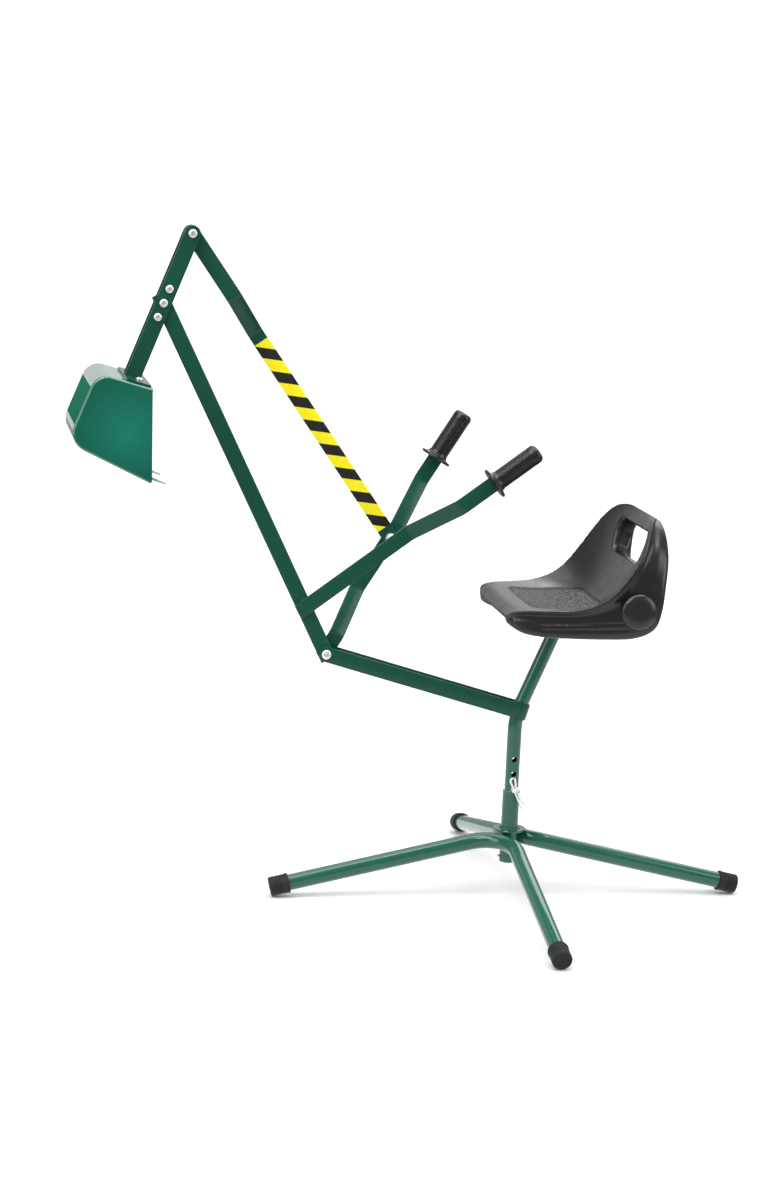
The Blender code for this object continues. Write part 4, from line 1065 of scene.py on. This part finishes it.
def build_bucket_arm():
    angle = math.atan2(PIVOT_T[1] - PIVOT_M[1], PIVOT_T[0] - PIVOT_M[0])
    fastener("boom_bolt", at(PIVOT_M), "bucket", head_r=0.0065)
    fastener("link_bolt_top", at(PIVOT_T), "bucket", head_r=0.0067)
    for name, distance in (("upper", STOP_PITCH), ("lower", -STOP_PITCH)):
        fastener(f"stop_bolt_{name}", at(along(PIVOT_M, angle, distance)), "bucket", radius=0.003,
                 head_r=0.0062, flats=0.01)
    slope = Vector(BUCKET_MOUTH_TOP) - Vector(BUCKET_BACK_TOP)
    up = Vector((-slope.y, 0.0, slope.x)).normalized()
    for side in ("near", "far"):
        low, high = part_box(f"mount_bolt_{side}")
        centre = (Vector(low) + Vector(high)) / 2 - Vector((POST_X, 0, 0))
        origin = centre - up * (centre - at(BUCKET_BACK_TOP)).dot(up)
        fastener(f"mount_bolt_{side}", origin, "bucket", -0.0036, SHEET_T + GAP, 0.003, 0.0052, 0.01, -up)


def finish_node(obj, mat, width=0.0):
    for index in range(len(obj.data.materials)):
        obj.data.materials[index] = mat
    if width:
        edges = obj.modifiers.new("soft_edges", "BEVEL")
        edges.width = width
        edges.segments = 2
        edges.limit_method = "ANGLE"
        edges.angle_limit = math.radians(35)


def finish_cad_nodes():
    """Real finishes and soft edges for the CAD nodes that stay."""
    for name in ("bucket_arm_near", "bucket_arm_far", "bucket_mount", "seat_bracket"):
        finish_node(nodes[name], GREEN, 0.0006)
    for name in nodes:
        if any(word in name for word in ("washer", "spacer", "seat_bolt")):
            finish_node(nodes[name], ZINC, 0.0003)
    finish_node(nodes["swivel_bush"], NYLON)


# -------------------- studio
def build_stage():
    """A round paper floor that turns up into a wall, far enough out for the camera to go right round."""
    flat_r, curve_r, wall_top = 6.8, 1.6, 7.0
    profile = [(0.001, 0.0), (1.0, 0.0), (3.0, 0.0), (flat_r, 0.0)]
    profile += [(flat_r + curve_r * math.sin(a), curve_r * (1 - math.cos(a))) for a in corner_angles(9, 1)]
    profile.append((flat_r + curve_r, wall_top))
    bm = bmesh.new()
    rows = [[bm.verts.new(point) for point in circle(at((0, z)), r, Vector(X_AXIS), Vector(Y_AXIS), 64)]
            for r, z in profile]
    join_rows(bm, rows, around=True, flip=True)
    floor = mesh_object("studio_floor", bm, 0.0)
    shade(floor)
    mat, tree, shader, coords = new_material("studio_paper")
    tree.links.new(mix_colour(tree, noise(tree, coords, 1.2), (0.9, 0.9, 0.905), (0.92, 0.92, 0.92)),
                   shader.inputs["Base Color"])
    shader.inputs["Roughness"].default_value = 0.75
    shader.inputs["Specular IOR Level"].default_value = 0.2
    glow = remap(tree, vector_math(tree, "LENGTH", coords), 1.3, 5.0, 0.0, 0.85)
    tree.links.new(glow, shader.inputs["Emission Strength"])
    floor.data.materials.append(mat)
    floor.visible_glossy = False
    floor.visible_diffuse = False


def build_lights():
    middle = (0.0, 0.0, 0.5)
    for name, place, target, size, power in (
            ("key_top_left", (-1.8, -1.6, 3.0), middle, (2.4, 1.8), 62.0),
            ("fill_right", (2.8, -1.4, 1.6), middle, (1.8, 2.4), 38.0),
            ("left_box", (-2.7, -0.9, 1.3), middle, (1.4, 2.2), 26.0),
            ("top", (0.2, 0.6, 3.4), (0.0, 0.4, 0.0), (4.0, 3.0), 70.0),
            ("back", (1.6, 2.6, 2.6), middle, (2.4, 1.8), 34.0),
            ("strip_above", (0.1, -0.5, 3.2), (0.1, -0.2, 0.0), (3.2, 0.35), 36.0),
            ("floor_bounce", (0.0, -0.2, 0.001), (0.0, -0.2, 1.0), (2.6, 2.0), 13.0),
            ("card_behind", (-0.2, 3.4, 1.2), (-0.2, 0.0, 0.9), (4.4, 1.7), 10.0)):
        data = bpy.data.lights.new(name, "AREA")
        data.shape = "RECTANGLE"
        data.size, data.size_y = size
        data.energy = power
        light = add_object(name, data)
        light.location = place
        light.visible_camera = False
        light.rotation_euler = (Vector(target) - Vector(place)).to_track_quat("-Z", "Y").to_euler()
    world = bpy.data.worlds.new("studio")
    bpy.context.scene.world = world
    world.use_nodes = True
    sky = world.node_tree.nodes["Background"]
    sky.inputs["Color"].default_value = (1.0, 1.0, 1.0, 1.0)
    sky.inputs["Strength"].default_value = 0.34
    view = bpy.context.scene.view_settings
    view.view_transform = "Standard"
    view.look = "None"


def build_camera():
    place = Vector((POST_X + math.sin(CAMERA_AZIMUTH) * CAMERA_DISTANCE,
                    -math.cos(CAMERA_AZIMUTH) * CAMERA_DISTANCE, CAMERA_HEIGHT))
    data = bpy.data.cameras.new("camera")
    data.lens = CAMERA_LENS
    camera = add_object("camera", data)
    camera.matrix_world = (Matrix.Translation(place)
                           @ Matrix.Rotation(CAMERA_AZIMUTH + CAMERA_YAW, 4, "Z")
                           @ Matrix.Rotation(math.pi / 2 - CAMERA_PITCH, 4, "X")
                           @ Matrix.Rotation(CAMERA_ROLL, 4, "Z"))
    bpy.context.scene.camera = camera


build_legs()
build_base()
build_post()
build_lower_arm()
build_seat()
build_boom()
build_lever()
build_link()
build_bucket()
build_teeth()
build_bucket_arm()
finish_cad_nodes()
build_stage()
build_lights()
build_camera()

bpy.context.view_layer.update()
